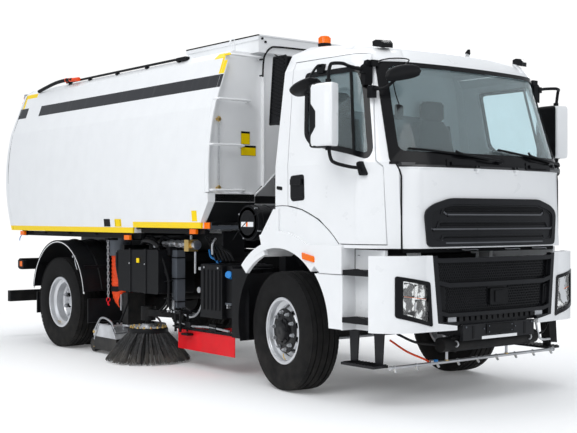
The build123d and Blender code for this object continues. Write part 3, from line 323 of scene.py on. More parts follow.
# ------------------------------------------------------------------ mesh building
class Form:
    """A mesh under construction.  Stations run along the truck from the front axle."""

    def __init__(self):
        self.bm = bmesh.new()

    def take(self, verts, faces, m=0):
        made = [self.bm.verts.new(Vector(v) + Vector((0, YO, 0))) for v in verts]
        out = []
        for f in faces:
            face = self.bm.faces.new([made[i] for i in f])
            face.material_index = m
            out.append(face)
        return out

    def box(self, x0, x1, y0, y1, z0, z1, m=0, turn=None):
        c = Vector(((x0 + x1) / 2, (y0 + y1) / 2, (z0 + z1) / 2))
        r = turn or Matrix.Identity(3)
        pts = []
        for z in (z0, z1):
            for x, y in ((x0, y0), (x1, y0), (x1, y1), (x0, y1)):
                pts.append(c + r @ (Vector((x, y, z)) - c))
        self.take(pts, [(3, 2, 1, 0), (4, 5, 6, 7), (0, 1, 5, 4), (1, 2, 6, 5), (2, 3, 7, 6), (3, 0, 4, 7)],
                  m)

    def prism(self, outline, axis, a, b, m=0):
        """An outline in the two other axes, pulled along axis from a to b."""
        def at(p, q):
            u, v = p
            return {"x": (q, u, v), "y": (u, q, v), "z": (u, v, q)}[axis]
        n = len(outline)
        pts = [at(p, a) for p in outline] + [at(p, b) for p in outline]
        faces = [tuple(reversed(range(n))), tuple(range(n, 2 * n))]
        faces += [(i, (i + 1) % n, n + (i + 1) % n, n + i) for i in range(n)]
        self.take(pts, faces, m)

    def rings(self, rows, m=0, caps=True, closed=False):
        """Skin over rows of points."""
        n = len(rows[0])
        pts = [p for row in rows for p in row]
        faces = []
        last = len(rows) if closed else len(rows) - 1
        for i in range(last):
            j = (i + 1) % len(rows)
            for k in range(n):
                l = (k + 1) % n
                faces.append((i * n + k, i * n + l, j * n + l, j * n + k))
        if caps and not closed:
            faces.append(tuple(reversed(range(n))))
            faces.append(tuple(range((len(rows) - 1) * n, len(rows) * n)))
        self.take(pts, faces, m)

    def lathe(self, centre, axis, profile, seg=32, m=0, closed=False, caps=True):
        """profile: (along the axis, radius)."""
        c = Vector(centre)
        w = Vector(axis).normalized()
        u = w.orthogonal().normalized()
        v = w.cross(u)
        rows = []
        for a, r in profile:
            rows.append([c + w * a + (u * math.cos(t) + v * math.sin(t)) * max(r, 1e-5)
                         for t in [math.tau * k / seg for k in range(seg)]])
        self.rings(rows, m, caps, closed)

    def cyl(self, p, q, r, m=0, seg=20, r1=None):
        p, q = Vector(p), Vector(q)
        length = (q - p).length
        self.lathe(p, q - p, [(0, r), (length, r if r1 is None else r1)], seg, m)

    def tube(self, pts, r, m=0, seg=10, smooth=True, caps=True):
        path = curve_points(pts) if smooth else [Vector(p) for p in pts]
        rows = []
        side = None
        for i, p in enumerate(path):
            a = path[max(i - 1, 0)]
            b = path[min(i + 1, len(path) - 1)]
            t = (b - a).normalized()
            side = t.orthogonal().normalized() if side is None else (side - t * side.dot(t)).normalized()
            other = t.cross(side)
            rr = r(i / (len(path) - 1)) if callable(r) else r
            rows.append([p + (side * math.cos(k) + other * math.sin(k)) * rr
                         for k in [math.tau * n / seg for n in range(seg)]])
        self.rings(rows, m, caps)

    def ball(self, c, r, m=0, seg=20, squash=1.0):
        prof = [(-r * squash * math.cos(math.pi * k / 10), r * math.sin(math.pi * k / 10)) for k in range(11)]
        self.lathe(c, (0, 0, 1), prof, seg, m)

    def torus(self, c, axis, r, t, m=0, seg=32):
        prof = [(t * math.sin(math.tau * k / 10), r + t * math.cos(math.tau * k / 10)) for k in range(10)]
        self.lathe(c, axis, prof, seg, m, closed=True)


def curve_points(pts, steps=6):
    """A smooth line through the points."""
    pts = [Vector(p) for p in pts]
    if len(pts) < 3:
        return pts
    ext = [pts[0] * 2 - pts[1]] + pts + [pts[-1] * 2 - pts[-2]]
    out = []
    for i in range(1, len(ext) - 2):
        a, b, c, d = ext[i - 1:i + 3]
        for k in range(steps):
            t = k / steps
            out.append(0.5 * (b * 2 + (c - a) * t + (a * 2 - b * 5 + c * 4 - d) * t * t
                              + (b * 3 - a - c * 3 + d) * t ** 3))
    out.append(pts[-1])
    return out


CORNER_LINE = [(1.300, -1.308), (2.000, -1.305), (2.850, -1.060), (3.010, -0.960), (3.085, -0.800)]
CAB_BODIES = ("cab", "front_lid", "left_door", "right_door")


def along(table, u):
    """Linear look-up in a table of (u, v)."""
    for (u0, v0), (u1, v1) in zip(table, table[1:]):
        if u <= u1:
            return v0 + (v1 - v0) * max(0.0, (u - u0) / (u1 - u0))
    return table[-1][1]


def eased(low, high, u):
    t = min(1.0, max(0.0, (u - low) / (high - low)))
    return t * t * (3 - 2 * t)


def draw_in(mesh):
    """Tightens the cab's front corners, back and a little inwards, and lowers the roof's front edge."""
    for v in mesh.vertices:
        x, y, z = v.co
        near = 1 - eased(0.0, 0.40, y - YO - along(CORNER_LINE, z))
        near *= 1 - eased(1.26, 1.38, abs(x))
        if near > 0:
            low = 1 - eased(1.90, 1.985, z)
            v.co.y = y + (0.080 - 0.030 * low) * near * eased(0.72 + 0.13 * low, 1.10, abs(x))
            inward = (0.022 + 0.028 * low) * near * eased(0.86 * low, 0.80 + 0.28 * low, abs(x))
            v.co.x = x - math.copysign(inward, x)
        v.co.z = z - 0.045 * eased(2.90, 3.05, z) * (1 - eased(-0.55, -0.20, y - YO))


def drawn_in(node, body):
    """A copy of a node with the corners drawn in, in the node's place."""
    source = NODE[node].data
    mesh = source.copy()
    looks = [m for m in source.materials]
    mesh.materials.clear()
    if "custom_normal" in mesh.attributes:
        mesh.attributes.remove(mesh.attributes["custom_normal"])
    made = piece_from(node + "_skin", mesh, [], body, angle=24, stands_for=[node])
    for look in looks:
        made.data.materials.append(look)
    return made


def piece(name, form, looks, body, bevel=0.0, angle=35, stands_for=()):
    """Turns a Form into a finished piece on a body."""
    bmesh.ops.recalc_face_normals(form.bm, faces=form.bm.faces)
    mesh = bpy.data.meshes.new(name)
    form.bm.to_mesh(mesh)
    form.bm.free()
    return piece_from(name, mesh, looks, body, bevel, angle, stands_for)


def piece_from(name, mesh, looks, body, bevel=0.0, angle=35, stands_for=()):
    for look in looks:
        mesh.materials.append(M[look])
    if body in CAB_BODIES:
        draw_in(mesh)
    mesh.shade_smooth()
    mesh.set_sharp_from_angle(angle=math.radians(angle))
    obj = bpy.data.objects.new(name, mesh)
    bpy.context.scene.collection.objects.link(obj)
    if bevel:
        mod = obj.modifiers.new("edges", "BEVEL")
        mod.width = bevel
        mod.segments = 2
        mod.limit_method = "ANGLE"
        mod.angle_limit = math.radians(40)
        mod.harden_normals = True
    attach(obj, body)
    if stands_for:
        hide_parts(*stands_for)
    return obj


# ------------------------------------------------------------------ copies on points, by geometry nodes
def repeat_tree():
    """Puts the given object on every point, turned and sized by the point's own attributes."""
    tree = bpy.data.node_groups.new("repeat_on_points", "GeometryNodeTree")
    face = tree.interface
    face.new_socket("Points", in_out="INPUT", socket_type="NodeSocketGeometry")
    face.new_socket("Item", in_out="INPUT", socket_type="NodeSocketObject")
    face.new_socket("Finish", in_out="INPUT", socket_type="NodeSocketMaterial")
    face.new_socket("Result", in_out="OUTPUT", socket_type="NodeSocketGeometry")
    nodes, links = tree.nodes, tree.links
    source = nodes.new("NodeGroupInput")
    result = nodes.new("NodeGroupOutput")
    item = nodes.new("GeometryNodeObjectInfo")
    turn = nodes.new("GeometryNodeInputNamedAttribute")
    turn.data_type = "FLOAT_VECTOR"
    turn.inputs["Name"].default_value = "turn"
    size = nodes.new("GeometryNodeInputNamedAttribute")
    size.data_type = "FLOAT_VECTOR"
    size.inputs["Name"].default_value = "size"
    euler = nodes.new("FunctionNodeEulerToRotation")
    put = nodes.new("GeometryNodeInstanceOnPoints")
    real = nodes.new("GeometryNodeRealizeInstances")
    finish = nodes.new("GeometryNodeSetMaterial")
    links.new(source.outputs["Points"], put.inputs["Points"])
    links.new(source.outputs["Item"], item.inputs["Object"])
    links.new(item.outputs["Geometry"], put.inputs["Instance"])
    links.new(turn.outputs["Attribute"], euler.inputs[0])
    links.new(euler.outputs[0], put.inputs["Rotation"])
    links.new(size.outputs["Attribute"], put.inputs["Scale"])
    links.new(put.outputs[0], real.inputs[0])
    links.new(real.outputs[0], finish.inputs["Geometry"])
    links.new(source.outputs["Finish"], finish.inputs["Material"])
    links.new(finish.outputs[0], result.inputs[0])
    return tree


REPEAT = repeat_tree()


def repeat(name, item, places, look, body, angle=35, stands_for=()):
    """Copies of a Form, built about the origin, at places (point, turn, size)."""
    bmesh.ops.translate(item.bm, vec=Vector((0, -YO, 0)), verts=item.bm.verts)
    bmesh.ops.recalc_face_normals(item.bm, faces=item.bm.faces)
    shape = bpy.data.meshes.new(name + "_item")
    item.bm.to_mesh(shape)
    item.bm.free()
    model = bpy.data.objects.new(name + "_item", shape)
    cloud = bpy.data.meshes.new(name + "_points")
    cloud.from_pydata([Vector(p) + Vector((0, YO, 0)) for p, t, s in places], [], [])
    for key, column in (("turn", 1), ("size", 2)):
        data = cloud.attributes.new(key, "FLOAT_VECTOR", "POINT").data
        for spot, row in zip(data, places):
            value = row[column]
            spot.vector = tuple(value) if hasattr(value, "__len__") else (value, value, value)
    holder = bpy.data.objects.new(name + "_holder", cloud)
    bpy.context.scene.collection.objects.link(holder)
    bpy.context.scene.collection.objects.link(model)
    mod = holder.modifiers.new("repeat", "NODES")
    mod.node_group = REPEAT
    for socket in REPEAT.interface.items_tree:
        if socket.name == "Item":
            mod[socket.identifier] = model
        if socket.name == "Finish":
            mod[socket.identifier] = M[look]
    bpy.context.view_layer.update()
    graph = bpy.context.evaluated_depsgraph_get()
    mesh = bpy.data.meshes.new_from_object(holder.evaluated_get(graph))
    bpy.data.objects.remove(holder)
    bpy.data.objects.remove(model)
    mesh.materials.clear()
    return piece_from(name, mesh, [look], body, angle=angle, stands_for=stands_for)


def facing(direction, spin=0.0):
    """Euler turn that points an item's +Z along direction."""
    q = Vector(direction).to_track_quat("Z", "Y").to_matrix() @ Matrix.Rotation(spin, 3, "Z")
    return q.to_euler()


# ------------------------------------------------------------------ wheels
STEER = math.radians(-8.0)
KING_X = 0.85
AXLE_Z = 0.535
WHEELBASE = 4.253
STUDS = 10
STUD_RING = 0.1675


def steered(side):
    pin = Matrix.Translation(Vector((side * KING_X, YO, 0)))
    return pin @ Matrix.Rotation(STEER, 4, "Z") @ pin.inverted()


def tyre_profile(half, groove):
    """Outer and inner wall of a tyre: (along the axle, radius), from one bead to the other."""
    wall = [(0.70, 0.2865), (0.72, 0.300), (0.84, 0.309), (0.94, 0.325), (0.985, 0.352), (0.992, 0.356),
            (1.0, 0.395), (0.995, 0.432), (0.975, 0.455), (0.972, 0.4605), (0.93, 0.490), (0.895, 0.507),
            (0.86, 0.519)]
    crown = [(0.82, 0.5245), (0.74, 0.5315)]
    for c in groove:
        crown += [(c + 0.045, 0.5340), (c + 0.030, 0.5215), (c - 0.030, 0.5215), (c - 0.045, 0.5345)]
    right = wall + crown
    full = right + [(-u, v) for u, v in reversed(right)]
    return [(u * half, v) for u, v in full]


def tyre_form(mid_x, y, half, groove):
    form = Form()
    form.lathe((mid_x, y, AXLE_Z), (1, 0, 0), tyre_profile(half, groove), 96, caps=False, closed=True)
    return form


def tread_places(mid_x, y, half, rows, pitch, start=0.0):
    """rows: place across the tread, length across, radius, slant of a block."""
    places = []
    for u, length, radius, slant in rows:
        count = round(math.tau * AXLE_Z / pitch)
        for k in range(count):
            a = math.tau * (k + start + (0.5 if u < 0 else 0.0)) / count
            p = (mid_x + u * half, y + radius * math.cos(a), AXLE_Z + radius * math.sin(a))
            m = Matrix(((1, 0, 0), (0, math.sin(a), math.cos(a)), (0, -math.cos(a), math.sin(a))))
            m = m @ Matrix.Rotation(slant * (1 if u > 0 else -1), 3, "Z")
            places.append((p, m.to_euler(), (length * half, 1, 1)))
    return places


def block():
    """Tread block 1 m across, tapered to its top, to be sized in place."""
    form = Form()
    low, high, depth = 0.0206, 0.0195, 0.5
    rows = [[(-depth, -low, -0.008), (depth, -low, -0.008), (depth, low, -0.008), (-depth, low, -0.008)],
            [(-depth, -low, 0.003), (depth, -low, 0.003), (depth, low, 0.003), (-depth, low, 0.003)],
            [(-depth * 0.96, -high, 0.0065), (depth * 0.96, -high, 0.0065), (depth * 0.96, high, 0.0065),
             (-depth * 0.96, high, 0.0065)]]
    form.rings(rows)
    return form


def hexnut(r, h):
    form = Form()
    form.lathe((0, 0, 0), (0, 0, 1), [(0, r * 1.25), (0.003, r * 1.25), (0.003, r), (h, r), (h, r * 0.62),
                                      (h + 0.012, r * 0.60)], 6)
    return form


def moved_places(places, turn):
    out = []
    for p, t, s in places:
        q = turn @ Vector((p[0], p[1] + YO, p[2]))
        q.y -= YO
        m = turn.to_3x3() @ (t.to_matrix() if hasattr(t, "to_matrix") else Euler(t).to_matrix())
        out.append((q, m.to_euler(), s))
    return out


def hub_bolts(form, c, out, count, ring, low, high):
    """Small bolt heads in a ring on a hub, between two distances along the axle."""
    for k in range(count):
        a = math.tau * k / count
        d = Vector((0, math.cos(a), math.sin(a))) * ring
        form.cyl(c + out * low + d, c + out * high + d, 0.008, seg=6)


def nut_places(x, y, out, start):
    places = []
    for k in range(STUDS):
        a = math.tau * (k + start) / STUDS
        spot = (x, y + STUD_RING * math.cos(a), AXLE_Z + STUD_RING * math.sin(a))
        places.append((spot, facing(out, a), 1.0))
    return places


for side, word in ((-1, "right"), (1, "left")):
    turn = steered(side)
    body = "wheel_front_" + word
    x = side * 1.0225
    half = 0.1575
    tyre = tyre_form(x, 0.0, half, (0.56, 0.20))
    bmesh.ops.transform(tyre.bm, matrix=turn, verts=tyre.bm.verts)
    piece("tyre_front_%s_carcass" % word, tyre, ["tyre"], body, angle=32,
          stands_for=["tyre_front_" + word])
    rows = [(0.79, 0.15, 0.5220, 0.0), (-0.79, 0.15, 0.5220, 0.0), (0.38, 0.20, 0.5275, 0.12),
            (-0.38, 0.20, 0.5275, 0.12),
            (0.0, 0.26, 0.5280, -0.12)]
    repeat("tyre_front_%s_tread" % word, block(), moved_places(tread_places(x, 0.0, half, rows, 0.046), turn),
           "tyre", body)
    hub = Form()
    out = Vector((side, 0, 0))
    c = Vector((x, 0, AXLE_Z))
    hub.lathe(c, out, [(0.0960, 0.202), (0.0995, 0.201), (0.1105, 0.178), (0.1120, 0.150), (0.1135, 0.118),
                       (0.1290, 0.1135), (0.1300, 0.094), (0.1500, 0.086),
                       (0.1545, 0.076), (0.1545, 0.030), (0.1520, 0.0)], 40)
    hub_bolts(hub, c, out, 8, 0.100, 0.128, 0.138)
    hub.bm.transform(turn)
    piece("hub_front_" + word, hub, ["gloss"], body, bevel=0.0015)
    nuts = nut_places(x + side * 0.110, 0.0, out, 0.25)
    repeat("nuts_front_" + word, hexnut(0.0155, 0.024), moved_places(nuts, turn), "steel", body)
    ring = Form()
    ring.lathe(c, out, [(0.1245, 0.2975), (0.1275, 0.2975), (0.1285, 0.290), (0.1275, 0.283),
                        (0.1250, 0.281)], 64, closed=True, caps=False)
    ring.lathe(c, out, [(0.1275, 0.283), (0.120, 0.276), (0.106, 0.2705), (0.104, 0.269), (0.118, 0.273)], 64,
               closed=True, caps=False)
    ring.tube([c + out * 0.095 + Vector((0, 0, -0.262)), c + out * 0.110 + Vector((0, 0, -0.240)),
               c + out * 0.114 + Vector((0, 0.004, -0.205))], 0.005, m=1)
    ring.bm.transform(turn)
    piece("rim_trim_front_" + word, ring, ["silver", "brass"], body)

    body = "wheels_rear_" + word
    half = 0.1475
    rear = Form()
    for mid in (1.0925, 0.7525):
        rear.lathe((side * mid, WHEELBASE, AXLE_Z), (1, 0, 0), tyre_profile(half, (0.50, 0.12)), 96,
                   caps=False, closed=True)
    piece("tyres_rear_%s_carcass" % word, rear, ["tyre"], body, angle=32,
          stands_for=["tyres_rear_" + word])
    rows = [(0.76, 0.28, 0.5245, 0.0), (-0.76, 0.28, 0.5245, 0.0), (0.31, 0.26, 0.5275, 0.42),
            (-0.31, 0.26, 0.5275, 0.42)]
    places = []
    for mid in (1.0925, 0.7525):
        places += tread_places(side * mid, WHEELBASE, half, rows, 0.050, start=0.3 if mid < 1 else 0.0)
    repeat("tyres_rear_%s_tread" % word, block(), places, "tyre", body)
    c = Vector((side * 0.9225, WHEELBASE, AXLE_Z))
    hub = Form()
    hub.lathe(c, out, [(0.0145, 0.128), (0.020, 0.126), (0.022, 0.0875), (0.1205, 0.0870), (0.1210, 0.0680),
                       (0.1500, 0.0610),
                       (0.1535, 0.054), (0.1535, 0.0)], 40)
    hub_bolts(hub, c, out, 10, 0.076, 0.119, 0.130)
    piece("hub_rear_" + word, hub, ["silver"], body, bevel=0.0015)
    nuts = nut_places(side * 0.9385, WHEELBASE, out, 0.1)
    repeat("nuts_rear_" + word, hexnut(0.0155, 0.022), nuts, "steel", body)
    ring = Form()
    c = Vector((side * 1.0925, WHEELBASE, AXLE_Z))
    ring.lathe(c, out, [(0.1175, 0.2975), (0.1205, 0.2975), (0.1215, 0.290), (0.1205, 0.283),
                        (0.1180, 0.281)], 64, closed=True, caps=False)
    ring.tube([c + out * 0.060 + Vector((0, 0.10, -0.245)), c + out * 0.10 + Vector((0, 0.10, -0.235))],
              0.005, m=1)
    piece("rim_trim_rear_" + word, ring, ["silver", "brass"], body)


# ------------------------------------------------------------------ skin of the cab
for node, body, slot in (("cab_shell", "cab", "white_paint"), ("windscreen", "cab", "window"),
                         ("cab_interior", "cab", "interior"),
                         ("front_panel", "front_lid", "white_paint"),
                         ("door_left", "left_door", "white_paint"),
                         ("door_right", "right_door", "white_paint"),
                         ("door_glass_left", "left_door", "window"),
                         ("door_glass_right", "right_door", "window")):
    drawn_in(node, body)

CAB_ROWS = [
    # height, side x, rear y, side's front y, corner x, corner y, front x, front y, middle y
    (1.300, 1.220, 0.050, -1.000, 1.135, -1.308, 0.850, -1.415, -1.462),
    (2.000, 1.220, 0.050, -1.000, 1.135, -1.305, 0.850, -1.408, -1.455),
    (2.850, 1.118, 0.042, -0.880, 1.030, -1.060, 0.800, -1.140, -1.200),
    (3.010, 1.040, 0.030, -0.800, 0.960, -0.960, 0.740, -1.030, -1.080),
    (3.085, 0.900, -0.060, -0.680, 0.830, -0.800, 0.640, -0.860, -0.900),
]
BUMPER_ROW = (0.0, 1.250, -0.5, -1.200, 1.160, -1.345, 0.850, -1.450, -1.508)


def arc(a, b, c, n):
    """n points on the arc through three points."""
    (ax, ay), (bx, by), (cx, cy) = a, b, c
    d = 2 * (ax * (by - cy) + bx * (cy - ay) + cx * (ay - by))
    ux = ((ax * ax + ay * ay) * (by - cy) + (bx * bx + by * by) * (cy - ay)
          + (cx * cx + cy * cy) * (ay - by)) / d
    uy = ((ax * ax + ay * ay) * (cx - bx) + (bx * bx + by * by) * (ax - cx)
          + (cx * cx + cy * cy) * (bx - ax)) / d
    r = math.hypot(ax - ux, ay - uy)
    t0, t1, t2 = [math.atan2(y - uy, x - ux) for x, y in (a, b, c)]
    while t1 - t0 > math.pi:
        t1 -= math.tau
    while t0 - t1 > math.pi:
        t1 += math.tau
    while t2 - t1 > math.pi:
        t2 -= math.tau
    while t1 - t2 > math.pi:
        t2 += math.tau
    return [(ux + r * math.cos(t0 + (t2 - t0) * k / (n - 1)), uy + r * math.sin(t0 + (t2 - t0) * k / (n - 1)))
            for k in range(n)]


def row_points(row):
    z, w, yr, ys, xc, yc, xf, yf, ym = row
    return [(w, yr), (w, ys)] + arc((w, ys), (xc, yc), (xf, yf),
                                    15)[1:] + arc((xf, yf), (0, ym), (-xf, yf), 29)[1:15]


ROW_POINTS = [row_points(row) for row in CAB_ROWS]
BUMPER_POINTS = row_points(BUMPER_ROW)


def cab_points(z):
    z = min(max(z, CAB_ROWS[0][0]), CAB_ROWS[-1][0])
    i = max(k for k in range(len(CAB_ROWS) - 1) if CAB_ROWS[k][0] <= z)
    t = (z - CAB_ROWS[i][0]) / (CAB_ROWS[i + 1][0] - CAB_ROWS[i][0])
    return [(a[0] + (b[0] - a[0]) * t, a[1] + (b[1] - a[1]) * t)
            for a, b in zip(ROW_POINTS[i], ROW_POINTS[i + 1])]


def look_up(points, key, value, want):
    """Linear look-up along an outline that runs from the rear side to the middle of the front."""
    for p, q in zip(points, points[1:]):
        lo, hi = sorted((p[key], q[key]))
        if lo <= value <= hi and hi > lo:
            t = (value - p[key]) / (q[key] - p[key])
            return p[want] + (q[want] - p[want]) * t
    return points[-1][want] if key == 0 else points[0][want]


def on_front(x, z, out=0.0):
    """A point on the cab's front at (x, height), out metres off the skin."""
    pts = cab_points(z)[1:]
    y = look_up(pts, 0, min(abs(x), pts[0][0]), 1)
    e = 0.01
    y2 = look_up(pts, 0, min(abs(x) + e, pts[0][0]), 1)
    n = Vector(((y2 - y) * -1, e, 0)).normalized()
    n = Vector((abs(n.x) if y2 > y else 0.0, -abs(n.y), 0))
    return Vector(((abs(x) + n.x * out) * (1 if x >= 0 else -1), y + n.y * out, z))


def on_side(y, z, side=-1, out=0.0):
    return Vector((side * (look_up(cab_points(z), 1, y, 0) + out), y, z))


def on_bumper(x, z, out=0.0):
    y = look_up(BUMPER_POINTS[1:], 0, min(abs(x), 1.2499), 1)
    y2 = look_up(BUMPER_POINTS[1:], 0, min(abs(x) + 0.01, 1.25), 1)
    n = Vector((y2 - y, -0.01, 0)).normalized()
    return Vector(((abs(x) + n.x * out) * (1 if x >= 0 else -1), y + n.y * out, z))


def subdivided(outline, step):
    """The closed outline with points no further apart than step."""
    out = []
    for a, b in zip(outline, outline[1:] + outline[:1]):
        n = max(1, math.ceil(math.dist(a, b) / step))
        out += [(a[0] + (b[0] - a[0]) * k / n, a[1] + (b[1] - a[1]) * k / n) for k in range(n)]
    return out


def rounded(outline, r, n=4):
    """The closed outline with its corners rounded by r."""
    out = []
    count = len(outline)
    for i, p in enumerate(outline):
        p = Vector(p)
        a = Vector(outline[i - 1])
        b = Vector(outline[(i + 1) % count])
        ra = min(r, (a - p).length * 0.45)
        rb = min(r, (b - p).length * 0.45)
        s = p + (a - p).normalized() * ra
        e = p + (b - p).normalized() * rb
        for k in range(n + 1):
            t = k / n
            out.append(tuple(s * (1 - t) ** 2 + p * 2 * t * (1 - t) + e * t * t))
    return out


def inset(outline, d):
    """The closed outline moved inwards by d (outwards if negative)."""
    area2 = sum(a[0] * b[1] - b[0] * a[1] for a, b in zip(outline, outline[1:] + outline[:1]))
    sign = 1 if area2 > 0 else -1
    out = []
    for i, p in enumerate(outline):
        p = Vector(p)
        a = Vector(outline[i - 1])
        b = Vector(outline[(i + 1) % len(outline)])
        n1 = Vector((-(p - a).y, (p - a).x)).normalized() * sign
        n2 = Vector((-(b - p).y, (b - p).x)).normalized() * sign
        n = (n1 + n2).normalized()
        out.append(tuple(p + n * d / max(0.35, n.dot(n1))))
    return out


def frame_on(form, at, outer, inner, low, high, m=0, step=0.06):
    """A flat frame between two outlines, lying on a skin between two heights off it."""
    outer = subdivided(outer, step)
    n = len(outer)
    inner_pts = []
    closed = inner + inner[:1]
    lengths = [math.dist(a, b) for a, b in zip(closed, closed[1:])]
    for p in outer:
        best = None
        for a, b, length in zip(closed, closed[1:], lengths):
            if length < 1e-9:
                continue
            t = max(0, min(1, ((p[0] - a[0]) * (b[0] - a[0]) + (p[1] - a[1]) * (b[1] - a[1])) / length ** 2))
            q = (a[0] + (b[0] - a[0]) * t, a[1] + (b[1] - a[1]) * t)
            d = math.dist(p, q)
            if best is None or d < best[0]:
                best = (d, q)
        inner_pts.append(best[1])
    rows = [[at(*p, low) for p in outer], [at(*p, high) for p in outer], [at(*p, high) for p in inner_pts],
            [at(*p, low) for p in inner_pts]]
    pts = [p for row in rows for p in row]
    faces = []
    for i in range(4):
        j = (i + 1) % 4
        for k in range(n):
            l = (k + 1) % n
            faces.append((i * n + k, i * n + l, j * n + l, j * n + k))
    form.take(pts, faces, m)


def strip_on(form, at, p, q, width, low, high, m=0, step=0.05):
    """A straight strip of that width from p to q on a skin."""
    a, b = Vector(p), Vector(q)
    n = max(1, math.ceil((b - a).length / step))
    side = Vector((-(b - a).y, (b - a).x)).normalized() * width / 2
    rows = []
    for k in range(n + 1):
        c = a + (b - a) * k / n
        rows.append([at(*(c - side), low), at(*(c + side), low), at(*(c + side), high),
                     at(*(c - side), high)])
    form.rings(rows, m)


def plate_on(form, at, outline, low, high, m=0):
    """A closed plate lying on a skin."""
    n = len(outline)
    pts = [at(*p, low) for p in outline] + [at(*p, high) for p in outline]
    faces = [tuple(reversed(range(n))), tuple(range(n, 2 * n))]
    faces += [(i, (i + 1) % n, n + (i + 1) % n, n + i) for i in range(n)]
    form.take(pts, faces, m)


def grid_on(form, at, x0, x1, z0, z1, low, high, m=0, step=0.06):
    """A rectangular plate that follows the skin."""
    n = max(1, math.ceil((x1 - x0) / step))
    rows = []
    for k in range(n + 1):
        x = x0 + (x1 - x0) * k / n
        rows.append([at(x, z0, low), at(x, z1, low), at(x, z1, high), at(x, z0, high)])
    form.rings(rows, m)


def side_at(side):
    return lambda y, z, out=0.0: on_side(y, z, side, out)


# ------------------------------------------------------------------ cab: glass surrounds, wipers, seams
trim = Form()
CLEAR = [(-1.018, 2.088), (1.018, 2.088), (0.955, 2.806), (-0.955, 2.806)]
EDGE = [(-1.098, 1.986), (1.098, 1.986), (1.018, 2.846), (-1.018, 2.846)]
frame_on(trim, on_front, rounded(EDGE, 0.05), rounded(CLEAR, 0.07), -0.009, 0.0055)
grid_on(trim, on_front, -1.098, 1.098, 1.983, 2.004, -0.004, 0.006)
for x0, x1 in ((-0.62, -0.26), (0.40, 0.79)):
    plate_on(trim, on_front, rounded([(x0, 1.968), (x1, 1.968), (x1 - 0.01, 2.036), (x0 + 0.01, 2.036)],
                                     0.015), 0.003, 0.012)
    grid_on(trim, on_front, x0 + 0.05, x1 - 0.05, 1.984, 2.012, 0.010, 0.024)
piece("screen_surround", trim, ["gloss"], "cab", angle=30)
visor = Form()
grid_on(visor, on_front, -1.004, 1.004, 2.846, 2.880, -0.006, 0.006)
piece("screen_visor", visor, ["white"], "cab", angle=30)
lip = Form()
grid_on(lip, on_front, -1.046, 1.046, 1.952, 1.980, -0.006, 0.004)
piece("lid_lip", lip, ["white"], "front_lid", angle=30)

wipe = Form()
for px, tip, elbow in ((0.02, (-0.949, 2.112), (-0.42, 2.075)), (0.93, (0.039, 2.132), (0.50, 2.085))):
    base = on_front(px, 2.022, 0.012)
    wipe.cyl(base, base + Vector((0, -0.045, 0.012)), 0.022, seg=16)
    a = on_front(px, 2.030, 0.055)
    b = on_front(*elbow, 0.050)
    c = on_front(tip[0] * 0.55 + px * 0.45, tip[1] - 0.012, 0.042)
    wipe.tube([a, b, c], 0.010, seg=8)
    blade = []
    for k in range(9):
        t = k / 8
        blade.append(on_front(px + (tip[0] - px) * (0.10 + 0.90 * t), 2.052 + (tip[1] - 2.052) * t, 0.024))
    wipe.tube(blade, 0.009, seg=6)
    blade = [p + Vector((0, 0.010, -0.004)) for p in blade]
    wipe.tube(blade, 0.005, seg=6)
piece("wipers", wipe, ["black"], "cab")

seams = Form()
for side in (-1, 1):
    strip_on(seams, on_front, (side * 1.052, 1.30), (side * 1.052, 1.985), 0.011, -0.004, 0.0035)
piece("cab_seams", seams, ["black"], "cab")

# side windows and door furniture
WINDOW = [(-0.270, 2.795), (-0.985, 2.795), (-1.065, 2.640), (-1.205, 2.095), (-1.180, 2.042),
          (-0.420, 2.185), (-0.335, 2.260)]
for side, word in ((-1, "right"), (1, "left")):
    at = side_at(side)
    door = "%s_door" % word
    f = Form()
    frame_on(f, at, rounded(inset(WINDOW, -0.016), 0.05), rounded(inset(WINDOW, 0.030), 0.04), -0.012, 0.004)
    strip_on(f, at, (-0.880, 2.775), (-0.990, 2.105), 0.034, -0.006, 0.005)
    piece("window_surround_" + word, f, ["gloss"], door, angle=30)
    f = Form()
    handle = rounded([(-0.360, 1.700), (-0.190, 1.690), (-0.165, 1.72), (-0.165, 1.915), (-0.350, 1.925)],
                     0.03)
    plate_on(f, at, handle, -0.004, 0.004)
    strip_on(f, at, (-0.335, 1.86), (-0.190, 1.86), 0.050, 0.004, 0.030)
    strip_on(f, at, (-0.335, 1.775), (-0.190, 1.770), 0.090, 0.002, 0.007)
    piece("door_handle_" + word, f, ["gloss"], door, bevel=0.003)
    marker = Form()
    rows = []
    for y, z0, z1, lift in ((-0.525, 1.172, 1.208, 0.001), (-0.515, 1.168, 1.222, 0.016),
                            (-0.380, 1.190, 1.248, 0.018), (-0.350, 1.214, 1.252, 0.001)):
        rows.append([(side * 1.243, y, z0), (side * 1.243, y, z1), (side * (1.245 + lift), y, z1 - 0.004),
                     (side * (1.245 + lift), y, z0 + 0.004)])
    marker.rings(rows)
    piece("wing_marker_" + word, marker, ["amber"], "cab", bevel=0.002)
    f = Form()
    slot = rounded([(-0.050, 1.790), (0.030, 1.800), (0.030, 1.830), (-0.050, 1.822)], 0.012)
    plate_on(f, at, slot, -0.003, 0.003)
    band = []
    for k in range(25):
        a = math.radians(40 + (150 - 40) * k / 24)
        band.append((-0.05 + 1.055 * math.cos(a), 0.60 + 1.055 * math.sin(a)))
    line = [p for p in band if 1.31 < p[1] < 1.66 and p[0] > -0.95]
    for p, q in zip(line, line[1:]):
        strip_on(f, at, p, q, 0.006, -0.004, 0.0012)
    piece("cab_side_seam_" + word, f, ["black"], "cab")


